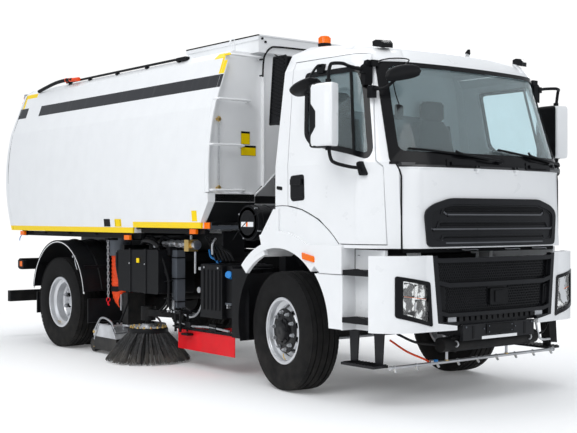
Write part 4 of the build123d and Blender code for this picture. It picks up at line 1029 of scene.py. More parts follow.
# ------------------------------------------------------------------ honeycomb, shared by both grilles
def hexring(w, h, wall, depth):
    """One open cell with a point up, its face on +Z."""
    form = Form()
    def ring(k, z):
        return [(w * k * x, h * k * y, z) for x, y in ((0.5, 0.25), (0, 0.5), (-0.5, 0.25), (-0.5, -0.25),
                                                       (0, -0.5), (0.5, -0.25))]
    k = 1 - 2 * wall / w
    form.rings([ring(1.02, 0.0), ring(k, 0.0), ring(k, -depth)], caps=False)
    return form


def honeycomb(name, at, inside, x0, x1, z0, z1, w, h, wall, out, look, body):
    """Cells over a rectangle of a skin, kept where inside(x, z) is true."""
    places = []
    rows = int((z1 - z0) / (0.75 * h))
    for r in range(rows + 1):
        z = z0 + r * 0.75 * h
        cols = int((x1 - x0) / w)
        for c in range(cols + 1):
            x = x0 + (c + 0.5 * (r % 2)) * w
            if x > x1 or not inside(x, z):
                continue
            p = at(x, z, out)
            direction = at(x, z, out + 0.01) - p
            places.append((p, facing(direction), 1.0))
    return repeat(name, hexring(w, h, wall, 0.010), places, look, body)


# ------------------------------------------------------------------ upper grille, on the front lid
GRILLE = [(-0.812, 1.312), (0.812, 1.312), (0.838, 1.600), (0.755, 1.660), (0.565, 1.713), (-0.565, 1.713),
          (-0.755, 1.660),
          (-0.838, 1.600)]
GRILLE_ROWS = [
    # rib's height, its half length, window's bottom and top, window's half length
    (1.576, 0.600, 1.588, 1.650, 0.650),
    (1.457, 0.757, 1.470, 1.514, 0.700),
    (1.343, 0.620, 1.356, 1.402, 0.660),
]


def slab(half, z0, z1, slant):
    """A long window with slanted ends."""
    return [(-half, z0), (half, z0), (half - slant, z1), (-half + slant, z1)]


grille = Form()
outer = rounded(GRILLE, 0.05)
recess = rounded(inset(GRILLE, 0.052), 0.04)
frame_on(grille, on_front, outer, recess, -0.002, 0.018)
frame_on(grille, on_front, recess, rounded(inset(GRILLE, 0.066), 0.04), -0.002, 0.009)
for height, half, z0, z1, reach in GRILLE_ROWS:
    # The ribs and their ends take the lighter rib finish, a painted highlight.
    grid_on(grille, on_front, -half, half, height - 0.006, height + 0.006, 0.0, 0.0185, 1)
    grid_on(grille, on_front, -half + 0.01, half - 0.01, height - 0.018, height - 0.006, 0.0, 0.012)
    frame_on(grille, on_front, slab(reach + 0.02, z0 - 0.008, z1 + 0.008, 0.03), slab(reach, z0, z1, 0.03),
             0.0, 0.011)
    for side in (-1, 1):
        strip_on(grille, on_front, (side * (half + 0.004), height), (side * (half + 0.035), height + 0.022),
                 0.012, 0.0, 0.012, 1)
grid_on(grille, on_front, -0.775, 0.775, 1.314, 1.640, -0.002, 0.0030)
grid_on(grille, on_front, -0.60, 0.60, 1.638, 1.672, -0.002, 0.0030)
piece("grille_upper", grille, ["trim", "rib"], "front_lid", bevel=0.0015,
      stands_for=["upper_grille"])


def in_grille_rows(x, z):
    return any(z0 + 0.008 < z < z1 - 0.004 and abs(x) < reach - 0.03 for _, _, z0, z1, reach in GRILLE_ROWS)


honeycomb("grille_upper_mesh", on_front, in_grille_rows, -0.70, 0.70, 1.362, 1.650, 0.013, 0.017, 0.0022,
          0.0075,
          "gloss", "front_lid")
# ------------------------------------------------------------------ lower grille, in the bumper
def in_bumper_rows(x, z):
    if 1.032 < z < 1.176:
        return abs(x) < 0.735
    return 0.780 < z < 0.970 and 0.13 < abs(x) < 0.60 or 0.780 < z < 0.812 and abs(x) < 0.60


honeycomb("grille_lower_mesh", on_bumper, in_bumper_rows, -0.76, 0.76, 0.785, 1.18, 0.024, 0.030, 0.0035,
          -0.0435,
          "gloss", "chassis")
low = Form()
for side in (-1, 1):
    def at(u, z, out, side=side):
        return on_bumper(side * u, z, out)
    plate_on(low, at, [(0.625, 0.785), (0.728, 0.812), (0.742, 0.975), (0.640, 0.962)], -0.050, -0.026)
    plate_on(low, at, [(0.650, 0.815), (0.708, 0.830), (0.718, 0.945), (0.660, 0.940)], -0.026, -0.020)
    plate_on(low, at, [(0.690, 1.035), (0.752, 1.060), (0.765, 1.185), (0.700, 1.172)], -0.050, -0.026)
    low.box(side * 0.555 - 0.05, side * 0.555 + 0.05, -1.462, -1.446, 0.6925, 0.7335, 1)
    low.cyl((side * 0.42, -1.492, 0.645), (side * 0.42, -1.498, 0.645), 0.008, 2)
    low.cyl((side * 0.20, -1.492, 0.620), (side * 0.20, -1.498, 0.620), 0.006, 2)
plate_on(low, on_bumper, rounded([(-0.115, 0.815), (0.115, 0.815), (0.115, 0.955), (-0.115, 0.955)], 0.012),
         -0.048, -0.020)
plate_on(low, on_bumper, rounded([(-0.060, 0.835), (0.060, 0.835), (0.060, 0.935), (-0.060, 0.935)], 0.010),
         -0.020, -0.012)
for n in range(14):
    x = -0.455 + 0.07 * n
    low.box(x - 0.022, x + 0.022, -1.470, -1.450, 0.694, 0.732, 3)
for x in (-0.33, 0.0, 0.33):
    low.box(x - 0.014, x + 0.014, -1.493, -1.489, 0.545, 0.651)
low.box(-0.225, 0.225, -1.4935, -1.4900, 0.5335, 0.5585, 4)
low.box(-0.170, 0.180, -1.4985, -1.4935, 0.575, 0.655)
for x, z in ((-0.14, 0.64), (0.15, 0.64), (-0.14, 0.59), (0.15, 0.59)):
    low.cyl((x, -1.4985, z), (x, -1.502, z), 0.006, 2, seg=8)
gap_bar = Form()
gap_bar.box(-1.00, 1.00, -1.335, -1.325, 1.262, 1.296)
for x in (-0.30, 0.25, 0.62):
    gap_bar.tube([(x, -1.338, 1.282), (x + 0.05, -1.345, 1.278), (x + 0.16, -1.345, 1.280),
                  (x + 0.20, -1.338, 1.274)], 0.005, 1)
piece("lid_gap_bar", gap_bar, ["black", "steel"], "cab")
piece("grille_lower_parts", low, ["black", "steel", "zinc", "tank", "white"], "chassis",
      bevel=0.0015)
beam = Form()
beam.cyl((-0.60, -1.365, 0.500), (0.60, -1.365, 0.500), 0.062, seg=24)
for x in (-0.47, 0.47):
    beam.lathe((x, -1.4005, 0.500), (0, -1, 0), [(0, 0.070), (0.008, 0.070), (0.010, 0.062)], 6)
    beam.torus((x, -1.425, 0.505), (1, 0.2, 0), 0.022, 0.007, 1, 20)
beam.tube([(0.62, -1.38, 0.62), (0.70, -1.36, 0.47), (0.92, -1.30, 0.44)], 0.011, 1)
beam.tube([(0.60, -1.36, 0.50), (0.78, -1.33, 0.52), (0.92, -1.28, 0.60)], 0.011)
beam.prism([(0.900, 0.640), (1.010, 0.640), (1.030, 0.400), (0.930, 0.410)], "y", -1.30, -1.20)
beam.tube([(-0.62, -1.34, 0.50), (-0.80, -1.28, 0.53), (-0.93, -1.20, 0.60)], 0.011)
piece("front_beam", beam, ["frame", "steel"], "chassis", bevel=0.002)

# ------------------------------------------------------------------ headlamps
LAMP = [(0.7954, 0.6835), (1.0896, 0.7643), (1.0896, 1.0725), (0.8203, 1.0206)]
LAMP_CELLS = [
    # centre across and up, half width, half height, how far the dish is turned
    (0.905, 0.955, 0.062, 0.052, 0.35),
    (1.022, 0.972, 0.048, 0.050, 0.15),
    (0.900, 0.815, 0.064, 0.066, 0.25),
    (1.018, 0.855, 0.050, 0.058, 0.55),
]
for side, word in ((-1, "right"), (1, "left")):
    def at(u, z, out, side=side):
        return on_bumper(side * u, z, out)
    f = Form()
    edge = rounded(LAMP, 0.016)
    wide = inset(LAMP, -0.012)
    wide = [(u + (0.024 if u > 1.0 else 0.0), v) for u, v in wide]
    frame_on(f, at, rounded(wide, 0.022), rounded(inset(LAMP, 0.020), 0.014), -0.055, 0.0065)
    plate_on(f, at, subdivided(LAMP, 0.05), -0.062, -0.054)
    frame_on(f, at, rounded(inset(LAMP, 0.022), 0.014), rounded(inset(LAMP, 0.030), 0.014), -0.055, -0.016, 1)
    strip_on(f, at, (0.826, 0.885), (1.066, 0.916), 0.012, -0.050, -0.012, 1)
    strip_on(f, at, (0.958, 0.745), (0.972, 1.030), 0.008, -0.050, -0.018, 1)
    strip_on(f, at, (0.840, 0.893), (1.060, 0.922), 0.004, -0.012, -0.010, 2)
    strip_on(f, at, (0.845, 0.720), (0.935, 0.745), 0.020, -0.050, -0.020, 1)
    for cx, cz, hw, hh, turn in LAMP_CELLS:
        middle = at(cx, cz, 0)
        normal = (at(cx, cz, 0.01) - middle).normalized()
        across = Vector((0, 0, 1)).cross(normal).normalized()
        rows = []
        for depth, k in ((-0.017, 1.0), (-0.030, 0.86), (-0.043, 0.60), (-0.050, 0.30), (-0.051, 0.10)):
            row = []
            for n in range(16):
                a = math.tau * (n + turn) / 16
                sq = 1.0 / max(abs(math.cos(a)), abs(math.sin(a)), 0.80)
                row.append(middle + normal * depth + across * math.cos(a) * hw * k * sq
                           + Vector((0, 0, 1)) * math.sin(a) * hh * k * sq)
            rows.append(row)
        f.rings(rows, 1, caps=True)
        f.cyl(middle - normal * 0.050, middle - normal * 0.030, 0.011, 3, seg=16)
        f.ball(middle - normal * 0.028, 0.010, 3, seg=12)
    piece("headlamp_bowl_" + word, f, ["gloss", "dish", "amber", "steel"], "chassis", angle=18)
    f = Form()
    plate_on(f, at, subdivided(inset(LAMP, 0.020), 0.03), -0.0065, -0.0035)
    piece("headlamp_lens_" + word, f, ["lens"], "chassis", stands_for=["headlamps"], angle=30)

# ------------------------------------------------------------------ steps and bumper trim
steps = Form()
for side in (-1, 1):
    for z, y0, y1 in ((1.116, -1.195, -0.880), (0.726, -1.195, -0.872)):
        for n in range(10):
            y = y0 + 0.018 + n * 0.030
            xa, xb = sorted((side * 1.100, side * 1.232))
            steps.box(xa, xb, y - 0.006, y + 0.006, z, z + 0.006)
        steps.prism([(y0 + 0.002, z - 0.036), (y0 + 0.002, z - 0.002), (y0 + 0.13, z + 0.020),
                     (y1 - 0.002, z + 0.004), (y1 - 0.002, z - 0.036)],
                    "x", side * 1.2385, side * 1.2425)
    for n in range(10):
        y = -1.180 + n * 0.039
        xa, xb = sorted((side * 1.035, side * 1.185))
        steps.box(xa, xb, y - 0.007, y + 0.007, 0.352, 0.358)
    steps.cyl((side * 1.215, -1.05, 1.243), (side * 1.215, -1.05, 1.247), 0.010)
piece("step_treads", steps, ["black"], "chassis", bevel=0.001)

spray = Form()
for n in range(9):
    x = -1.0 + 0.25 * n
    spray.lathe((x, -1.240, 0.332), (0, -0.016, -0.036), [(0.010, 0.011), (0.024, 0.011), (0.026, 0.009),
                                                          (0.036, 0.009), (0.039, 0.005)], 12)
    spray.torus((x, -1.240, 0.332), (1, 0, 0), 0.0155, 0.004, 1, 16)
for side in (-1, 1):
    spray.torus((side * 0.385, -1.240, 0.345), (0, 0, 1), 0.014, 0.005, 2, 16)
    spray.box(side * 0.385 - 0.03, side * 0.385 + 0.03, -1.256, -1.224, 0.520, 0.556, 1)
    spray.cyl((side * 1.035, -1.24, 0.332), (side * 1.050, -1.24, 0.332), 0.019, 1)
piece("spray_nozzles", spray, ["pale", "steel", "brass"], "chassis", bevel=0.0008)
feed = Form()
feed.tube([(-0.60, -1.240, 0.348), (-0.62, -1.20, 0.37), (-0.72, -1.10, 0.43), (-0.80, -0.98, 0.52)], 0.009)
feed.cyl((-0.585, -1.24, 0.350), (-0.555, -1.24, 0.350), 0.014, 1)
feed.cyl((-0.54, -1.24, 0.350), (-0.50, -1.24, 0.350), 0.012, 2)
piece("spray_feed", feed, ["hose", "steel", "blue"], "chassis")


# ------------------------------------------------------------------ roof: beacon, marker lamps, antenna
roof = Form()
roof.lathe((-0.800, -0.130, 3.070), (0, 0, 1), [(0, 0.060), (0.030, 0.058), (0.036, 0.061), (0.048, 0.061),
                                                (0.051, 0.055)], 40)
roof.lathe((-0.800, -0.130, 3.070), (0, 0, 1), [(0.049, 0.057), (0.060, 0.0575), (0.064, 0.055),
                                                (0.090, 0.054), (0.106, 0.050),
                                                (0.116, 0.040), (0.118, 0.0)], 40, 1)
for n in range(20):
    a = math.tau * n / 20
    c = Vector((-0.800 + 0.0545 * math.cos(a), -0.130 + 0.0545 * math.sin(a), 0))
    roof.cyl(c + Vector((0, 0, 3.136)), c + Vector((0, 0, 3.172)), 0.0028, 1, seg=6, r1=0.0020)
for side in (-1, 1):
    roof.prism([(-1.072, 3.000), (-0.955, 3.035), (-0.957, 3.077), (-0.995, 3.086), (-1.045, 3.078),
                (-1.074, 3.048)], "x",
               side * 0.905 - 0.049, side * 0.905 + 0.049)
    roof.prism([(-1.078, 3.046), (-1.051, 3.074), (-1.043, 3.076), (-1.068, 3.048)], "x",
               side * 0.905 - 0.036, side * 0.905 + 0.036, 2)
roof.prism([(-0.925, 3.020), (-0.830, 3.020), (-0.832, 3.066), (-0.900, 3.122), (-0.916, 3.122)], "x", 0.254,
           0.272)
roof.prism([(-0.940, 3.000), (-0.810, 3.010), (-0.815, 3.050), (-0.932, 3.042)], "x", 0.238, 0.288)
piece("roof_lamps", roof, ["black", "amber", "lens"], "cab", bevel=0.002,
      stands_for=["roof_fittings"])

front_mirror = Form()
front_mirror.box(-1.150, -1.098, -1.190, -1.130, 2.530, 2.628)
front_mirror.cyl((-1.115, -1.180, 2.600), (-1.105, -1.215, 2.605), 0.018)
front_mirror.tube([(-1.115, -1.190, 2.598), (-1.070, -1.265, 2.610), (-1.020, -1.320, 2.672),
                   (-1.000, -1.350, 2.700)], 0.013)
rows = []
axis = Vector((0.93, -0.25, 0.20)).normalized()
for k in range(15):
    t = -1 + 2 * k / 14
    r = math.sqrt(max(0.0, 1 - t * t)) ** 0.75
    c = Vector((-0.990, -1.358, 2.712)) + axis * 0.148 * t + Vector((0, 0, 0.014 * (1 - t * t)))
    rows.append([c + Vector((0.2, 0.9, -0.2)).normalized() * math.cos(a) * 0.034 * r
         + Vector((0, 0.2, 1)).normalized() * math.sin(a) * 0.064 * r
                 for a in [math.tau * n / 20 for n in range(20)]])
front_mirror.rings(rows)
front_mirror.tube([(-1.06, -1.10, 2.83), (-0.93, -1.140, 2.868), (-0.80, -1.185, 2.862), (-0.90, -1.27, 2.80),
                   (-0.965, -1.345, 2.752)], 0.0055)
front_mirror.box(-1.090, -1.030, -1.130, -1.080, 2.800, 2.850)
piece("front_mirror", front_mirror, ["black"], "cab", bevel=0.004)

# ------------------------------------------------------------------ mirrors
def mirror_rows(side, y_shift, outline, z0, z1, r):
    """A rounded upright housing from a plan outline."""
    rows = []
    cx = sum(p[0] for p in outline) / len(outline)
    cy = sum(p[1] for p in outline) / len(outline)
    for z, k in ((z0, 0.62), (z0 + r * 0.25, 0.84), (z0 + r, 0.985), (z0 + 2 * r, 1.0), (z1 - 2 * r, 1.0),
                 (z1 - r, 0.985),
                 (z1 - r * 0.25, 0.84), (z1, 0.62)):
        rows.append([(side * (cx + (x - cx) * k), cy + y_shift + (y - cy) * k, z) for x, y in outline])
    return rows


def cover_rows(side, outline, z0, z1):
    """The painted cap over the front and the outer side, drawn in a little at both ends."""
    rows = []
    for z, d in ((z0, 0.014), (z0 + 0.008, 0.005), (z0 + 0.030, 0.0), (z1 - 0.030, 0.0), (z1 - 0.008, 0.005),
                 (z1, 0.014)):
        rows.append([(side * (x - d * (1 if x > 1.49 else 0)), y + d * (1 if y < -0.97 else -1), z)
                     for x, y in outline])
    return rows


COVER = rounded([(1.402, -1.015), (1.515, -1.056), (1.530, -0.990), (1.530, -0.805), (1.505, -0.805),
                 (1.500, -0.985), (1.402, -0.985)],
                0.018, 5)
SHELL = rounded([(1.404, -0.990), (1.504, -0.990), (1.5265, -0.840), (1.505, -0.757), (1.412, -0.757)], 0.018,
                4)
for side, word in ((-1, "right"), (1, "left")):
    f = Form()
    f.rings(cover_rows(side, COVER, 2.127, 2.633))
    piece("mirror_cover_" + word, f, ["white"], word + "_door", angle=50,
          stands_for=["mirrors_" + word])
    f = Form()
    f.rings(mirror_rows(side, 0.0, SHELL, 2.117, 2.643, 0.018))
    f.prism([(-0.803, 2.485), (-0.845, 2.440), (-0.872, 2.410), (-0.872, 2.285), (-0.845, 2.250),
             (-0.803, 2.205)], "x",
            side * 1.522, side * 1.5325)
    # arms, with their joints at the housing and the feet on the pillar and the door's corner
    f.tube([(side * 1.140, -1.085, 2.762), (side * 1.300, -1.040, 2.790), (side * 1.435, -1.000, 2.792),
            (side * 1.462, -0.972, 2.765),
            (side * 1.462, -0.950, 2.625)], 0.0145, seg=12)
    f.tube([(side * 1.215, -1.120, 1.952), (side * 1.330, -1.065, 1.962), (side * 1.430, -1.005, 1.990),
            (side * 1.455, -0.975, 2.030),
            (side * 1.458, -0.950, 2.140)], 0.0145, seg=12)
    for z in (2.650, 2.112):
        f.cyl((side * 1.460, -0.952, z - 0.018), (side * 1.460, -0.952, z + 0.018), 0.024)
    foot = [(-1.100, 2.640), (-1.050, 2.650), (-1.045, 2.800), (-1.085, 2.818), (-1.104, 2.790)]
    f.prism(foot, "x", side * 1.062, side * 1.146)
    f.prism([(-1.100, 2.800), (-1.050, 2.806), (-1.060, 2.845), (-1.100, 2.850)], "x", side * 1.040,
            side * 1.120)
    f.box(side * 1.150 - 0.02, side * 1.150 + 0.02, -1.110, -1.060, 2.735, 2.790)
    f.prism(rounded([(-1.160, 1.892), (-1.085, 1.892), (-1.080, 2.000), (-1.150, 2.010)], 0.02), "x",
            side * 1.180, side * 1.254)
    f.cyl((side * 1.235, -1.12, 1.930), (side * 1.262, -1.12, 1.930), 0.016)
    if side < 0:
        f.tube([(-1.110, -0.470, 2.852), (-1.170, -0.476, 2.850), (-1.245, -0.480, 2.770),
                (-1.285, -0.490, 2.700)], 0.012, seg=12)
        f.box(-1.145, -1.085, -0.510, -0.430, 2.790, 2.868)
        kerb = []
        for k in range(11):
            t = -1 + 2 * k / 10
            r = math.sqrt(max(0.0, 1 - t * t)) ** 0.6
            c = Vector((-1.326, -0.498 - 0.155 * t, 2.655 + 0.040 * t))
            kerb.append([c + Vector((math.cos(a) * 0.104 * r, 0,
                                     math.sin(a) * 0.050 * r - math.cos(a) * 0.012))
                         for a in [math.tau * n / 20 for n in range(20)]])
        f.rings(kerb)
    piece("mirror_frame_" + word, f, ["black"], word + "_door", bevel=0.003)
    f = Form()
    for z0, z1 in ((2.330, 2.620), (2.145, 2.315)):
        f.prism(rounded([(side * 1.418, z0), (side * 1.494, z0), (side * 1.494, z1), (side * 1.418, z1)],
                        0.015), "y", -0.7585, -0.7545)
    piece("mirror_glass_" + word, f, ["mirror"], word + "_door")

# ------------------------------------------------------------------ inside the cab
inside = Form()
inside.box(-1.02, 1.02, -1.28, -1.02, 1.86, 1.915)
inside.box(-1.00, 1.00, 0.205, 0.215, 1.90, 2.84)
inside.prism([(-1.02, 1.80), (-0.93, 1.76), (-0.90, 1.90), (-0.98, 2.000), (-1.10, 2.015), (-1.02, 1.90)],
             "x", 0.30, 0.95)
inside.prism([(-1.05, 1.90), (-0.98, 1.70), (-0.93, 1.70), (-0.95, 1.95), (-1.05, 1.985)], "x", -0.30, 0.28)
inside.box(0.02, 0.25, -0.945, -0.925, 1.915, 2.110)
inside.box(-0.12, 0.06, -0.960, -0.940, 1.76, 1.88)
inside.prism([(-1.02, 1.915), (-0.98, 1.915), (-0.965, 2.05), (-0.985, 2.06)], "x", 0.12, 0.15)
for x in (-0.84, -0.40, 0.44, 0.80):
    inside.box(x - 0.07, x + 0.07, -1.010, -0.992, 1.80, 1.86)
inside.torus((0.620, -0.790, 1.990), (0, 0.76, 0.65), 0.215, 0.0175, seg=40)
for a in (0.0, 2.2, 4.1):
    u = Vector((1, 0, 0))
    v = Vector((0, 0.65, -0.76))
    c = Vector((0.620, -0.790, 1.990))
    d = u * math.cos(a) + v * math.sin(a)
    inside.cyl(c + d * 0.05, c + d * 0.21, 0.014, seg=8)
inside.lathe((0.620, -0.790, 1.990), (0, 0.76, 0.65), [(-0.03, 0.07), (0.01, 0.075), (0.018, 0.05)], 20)
inside.box(-1.03, 1.03, -0.02, 0.0, 2.05, 2.12)
for side in (-1, 1):
    inside.prism([(-0.98, 2.04), (-0.20, 2.16), (-0.18, 2.10), (-0.90, 1.98)], "x", side * 1.150,
                 side * 1.165)
inside.tube([(-0.984, -1.130, 2.480), (-0.975, -1.120, 2.560), (-0.96, -1.10, 2.66)], 0.004, seg=6)
piece("cab_dash", inside, ["inside"], "cab", bevel=0.004)
sensor = Form()
c = on_front(-0.928, 2.420, -0.022)
sensor.prism(rounded([(c.x - 0.030, 2.355), (c.x + 0.025, 2.350), (c.x + 0.030, 2.470), (c.x - 0.024, 2.485)],
                     0.02), "y", c.y - 0.002, c.y + 0.03)
sensor.tube([c + Vector((0, 0.012, 0.06)), c + Vector((-0.02, 0.03, 0.16)), c + Vector((-0.03, 0.055, 0.30))],
            0.005, seg=6)
piece("screen_sensor", sensor, ["black"], "cab", bevel=0.003)


def pad(form, x, corner, rows):
    """A closed, crowned pad; its rows are height, half width, middle y and half depth."""
    square = rounded([(-1, -1), (1, -1), (1, 1), (-1, 1)], corner, 4)
    form.rings([[(x + sx * w, y + sy * d, z) for sx, sy in square] for z, w, y, d in rows])


seats = Form()
for x in (-0.62, 0.62):
    pad(seats, x, 0.35, [(1.74, 0.22, -0.375, 0.23), (1.77, 0.245, -0.375, 0.255),
                         (1.83, 0.245, -0.375, 0.255), (1.86, 0.22, -0.375, 0.23)])
    pad(seats, x, 0.5, [(1.80, 0.21, -0.19, 0.07), (1.95, 0.235, -0.165, 0.085), (2.20, 0.23, -0.13, 0.08),
                        (2.42, 0.20, -0.095, 0.065), (2.50, 0.15, -0.085, 0.045)])
    pad(seats, x, 0.5, [(2.50, 0.10, -0.10, 0.035), (2.53, 0.135, -0.10, 0.05),
                        (2.66, 0.13, -0.10, 0.05), (2.69, 0.10, -0.10, 0.035)])
piece("seat_pads", seats, ["inside"], "cab", angle=60)

# ------------------------------------------------------------------ snorkel: louvres and the intake below
louvres = Form()
for n in range(17):
    z = 2.425 + n * 0.034
    top = 0.300 - (z - 2.40) * 0.060 / 0.61
    louvres.prism([(0.085, z), (top - 0.022, z + 0.060), (top - 0.022, z + 0.070), (0.085, z + 0.012)], "x",
                  -1.100, -1.088)
for p, q in (((0.062, 2.402), (0.298, 2.402)), ((0.298, 2.402), (0.240, 3.010)),
             ((0.240, 3.010), (0.062, 3.010)), ((0.062, 3.010), (0.062, 2.402))):
    a, b = Vector((-1.093, *p)), Vector((-1.093, *q))
    louvres.tube([a, b], 0.010, seg=6, smooth=False)
louvres.prism(rounded([(0.070, 1.985), (0.190, 1.985), (0.205, 2.15), (0.190, 2.235), (0.070, 2.235)], 0.03),
              "x", -1.075, -1.058)
piece("intake_louvres", louvres, ["black"], "cab", bevel=0.0015)
duct = Form()
duct.tube([(-0.960, 0.140, 1.885), (-0.960, 0.160, 1.780), (-0.930, 0.250, 1.680), (-0.900, 0.420, 1.600),
           (-0.880, 0.520, 1.560)], 0.055, seg=18)
for k in range(5):
    duct.torus((-0.960, 0.141 + 0.0015 * k * k, 1.870 - 0.026 * k), (0, -0.05 * k, 1), 0.055, 0.007, seg=24)
piece("intake_duct", duct, ["black"], "chassis")


# ------------------------------------------------------------------ hopper
HOPPER_SIDE = [(1.382, 1.250), (1.600, 1.2700), (1.800, 1.2800), (2.000, 1.284), (2.200, 1.2755),
               (2.400, 1.252), (2.620, 1.212),
               (3.120, 1.040), (3.190, 0.960)]
REAR_EDGE = [(1.382, 5.550), (1.70, 5.609), (2.05, 5.652), (2.38, 5.668), (2.75, 5.655), (3.00, 5.630),
             (3.20, 5.585)]


def on_hopper(y, z, out=0.0):
    return Vector((-(along(HOPPER_SIDE, z) + out), y, z))


trim = Form()
heights = [1.395 + (3.185 - 1.395) * k / 24 for k in range(25)]
for side in (-1, 1):
    for y_of, lift in ((lambda z: along(REAR_EDGE, z) - 0.063, 0.002),):
        rows = []
        for z in heights:
            x = side * (along(HOPPER_SIDE, z) + 0.001)
            y = y_of(z)
            rows.append([(x, y - 0.002, z), (x, y + 0.002, z), (x - side * 0.02, y + 0.002, z),
                         (x - side * 0.02, y - 0.002, z)])
        trim.rings(rows, 0)
piece("tailgate_seal", trim, ["black"], "hopper")

rim = Form()
for side in (-1, 1):
    rows = []
    for z in [1.795 + k * 0.1075 for k in range(13)]:
        x = along(HOPPER_SIDE, z) - 0.002
        rows.append([(side * x, 1.026, z), (side * x, 1.092, z), (side * (x - 0.014), 1.092, z),
                     (side * (x - 0.014), 1.026, z)])
    rim.rings(rows, 2)
rim.tube([(-0.604, 1.034, 1.86), (-0.604, 1.034, 3.16)], 0.010, seg=8)
rim.tube([(-1.20, 1.084, 1.790), (-0.74, 1.084, 1.790), (-0.72, 1.040, 1.765), (-0.60, 1.034, 1.862),
          (-0.47, 1.034, 1.985),
          (0.47, 1.034, 1.985), (0.72, 1.034, 1.755)], 0.012, seg=8, smooth=False)
rim.box(-0.752, 0.752, 0.930, 2.222, 3.338, 3.352, 0)
rim.box(-0.752, -0.738, 0.930, 2.222, 3.300, 3.352)
rim.box(0.738, 0.752, 0.930, 2.222, 3.300, 3.352)
rim.torus((-0.770, 1.339, 3.325), (0, 1, 0.3), 0.030, 0.009, seg=20)
rim.box(-0.785, -0.735, 1.325, 1.353, 3.240, 3.305)
for x, z in ((-0.700, 3.315), (-0.660, 3.285)):
    rim.cyl((x, 0.940, z), (x, 0.926, z), 0.012, 1, seg=10)
for z, x in ((3.140, 1.040), (2.700, 1.180), (2.255, 1.255), (1.815, 1.250)):
    for u in (-x + 0.012, -x + 0.388):
        rim.lathe((u, 1.078, z), (0, -1, 0), [(0, 0.022), (0.006, 0.022), (0.010, 0.014)], 14)
piece("hopper_rims", rim, ["white", "black", "hopper"], "hopper", angle=40)

gear = Form()
gear.tube([(-0.655, 0.985, 2.945), (-0.655, 0.975, 3.080), (-0.650, 0.955, 3.160), (-0.610, 0.922, 3.225),
           (-0.520, 0.918, 3.246),
           (-0.150, 0.918, 3.252)], 0.0095, seg=10)
for z in (2.96, 3.12):
    gear.cyl((-0.655, 0.978, z), (-0.655, 1.034, z), 0.008, seg=10)
gear.cyl((-0.15, 0.918, 3.252), (-0.15, 0.942, 3.252), 0.008, seg=10)
gear.tube([(-1.140, 1.046, 1.850), (-1.140, 1.046, 2.500)], 0.0055, 1, seg=8)
for z in (1.835, 2.505):
    gear.lathe((-1.140, 1.081, z), (0, -1, 0), [(0, 0.016), (0.028, 0.016), (0.030, 0.020), (0.048, 0.020),
                                                (0.050, 0.010)], 12, 2)
    gear.cyl((-1.140, 1.046, z - 0.026), (-1.140, 1.046, z + 0.026), 0.013, 2, seg=10)
for x0, x1, z0, z1 in ((-0.850, -0.746, 2.276, 2.399), (-0.850, -0.672, 2.165, 2.261)):
    gear.box(x0 - 0.003, x1 + 0.003, 1.0785, 1.0805, z0 - 0.003, z1 + 0.003, 0)
    gear.box(x0, x1, 1.0770, 1.0790, z0, z1, 3)
    gear.box(x0, x1, 1.0765, 1.0775, z1 - 0.018, z1, 0)
for y0, y1, z0, z1, m in ((2.960, 3.090, 1.447, 1.530, 0), (2.715, 2.850, 1.447, 1.530, 3),
                          (1.235, 1.320, 1.512, 1.615, 3)):
    rows = [[on_hopper(y, z0, 0.001), on_hopper(y, z1, 0.001), on_hopper(y, z1, 0.0085),
             on_hopper(y, z0, 0.0085)] for y in (y0, y1)]
    gear.rings(rows, m)
for y in (2.730, 2.835):
    gear.tube([on_hopper(y, 1.455, 0.009), on_hopper(y, 1.522, 0.009)], 0.002, 0, seg=5)
piece("hopper_fittings", gear, ["black", "steel", "brass", "yellow"], "hopper", bevel=0.0008)

top = Form()
top.tube([(-0.985, 1.90, 3.206), (-0.985, 3.20, 3.206), (-0.985, 4.54, 3.204)], 0.0135, seg=10)
for y in (2.00, 2.65, 3.30, 3.95, 4.45):
    top.box(-1.000, -0.960, y - 0.018, y + 0.018, 3.172, 3.204)
top.box(-1.010, -0.955, 1.84, 2.02, 3.180, 3.216)
top.tube([(-1.030, 4.30, 3.215), (-1.040, 4.48, 3.222), (-1.045, 4.72, 3.212), (-1.045, 4.98, 3.180),
          (-1.040, 5.20, 3.150)], 0.022, seg=12)
top.tube([(-1.020, 4.16, 3.208), (-1.025, 4.28, 3.212), (-1.032, 4.36, 3.218)], 0.024, 1, seg=12)
top.torus((-1.037, 4.45, 3.221), (0, 1, 0), 0.022, 0.006, 1, 16)
for z0, y in ((3.04, 5.640), (3.11, 5.600)):
    top.cyl((-0.985, y, z0), (-0.985, y + 0.085, z0), 0.035, 2, seg=20)
    top.cyl((-0.985, y + 0.085, z0), (-0.985, y + 0.110, z0), 0.030, 3, seg=20)
top.box(-1.030, -0.940, 5.580, 5.660, 3.020, 3.150, 2)
piece("hopper_top_gear", top, ["black", "hose", "steel", "amber"], "hopper", bevel=0.001)

lamps = Form()
for y, z in ((5.249, 1.347), (2.634, 1.331), (1.350, 1.410)):
    lamps.box(-1.245, -1.215, y - 0.055, y + 0.055, z - 0.024, z + 0.026, 0)
    lamps.box(-1.215, -1.190, y - 0.060, y + 0.060, z - 0.028, z + 0.040, 1)
for y, z in ((5.249, 1.347), (2.634, 1.331), (1.350, 1.350)):
    lamps.box(1.215, 1.245, y - 0.055, y + 0.055, z - 0.024, z + 0.026, 0)
    lamps.box(1.190, 1.215, y - 0.060, y + 0.060, z - 0.028, z + 0.040, 1)
lamps.prism([(1.360, 1.400), (1.295, 1.400), (1.295, 1.500), (1.360, 1.500)], "x", -1.20, -1.18, 1)
lamps.tube([(-1.225, 5.30, 1.330), (-1.215, 5.38, 1.280), (-1.18, 5.46, 1.250)], 0.006, 2, seg=8)
piece("sill_lamps", lamps, ["amber", "black", "blue"], "hopper", bevel=0.003)

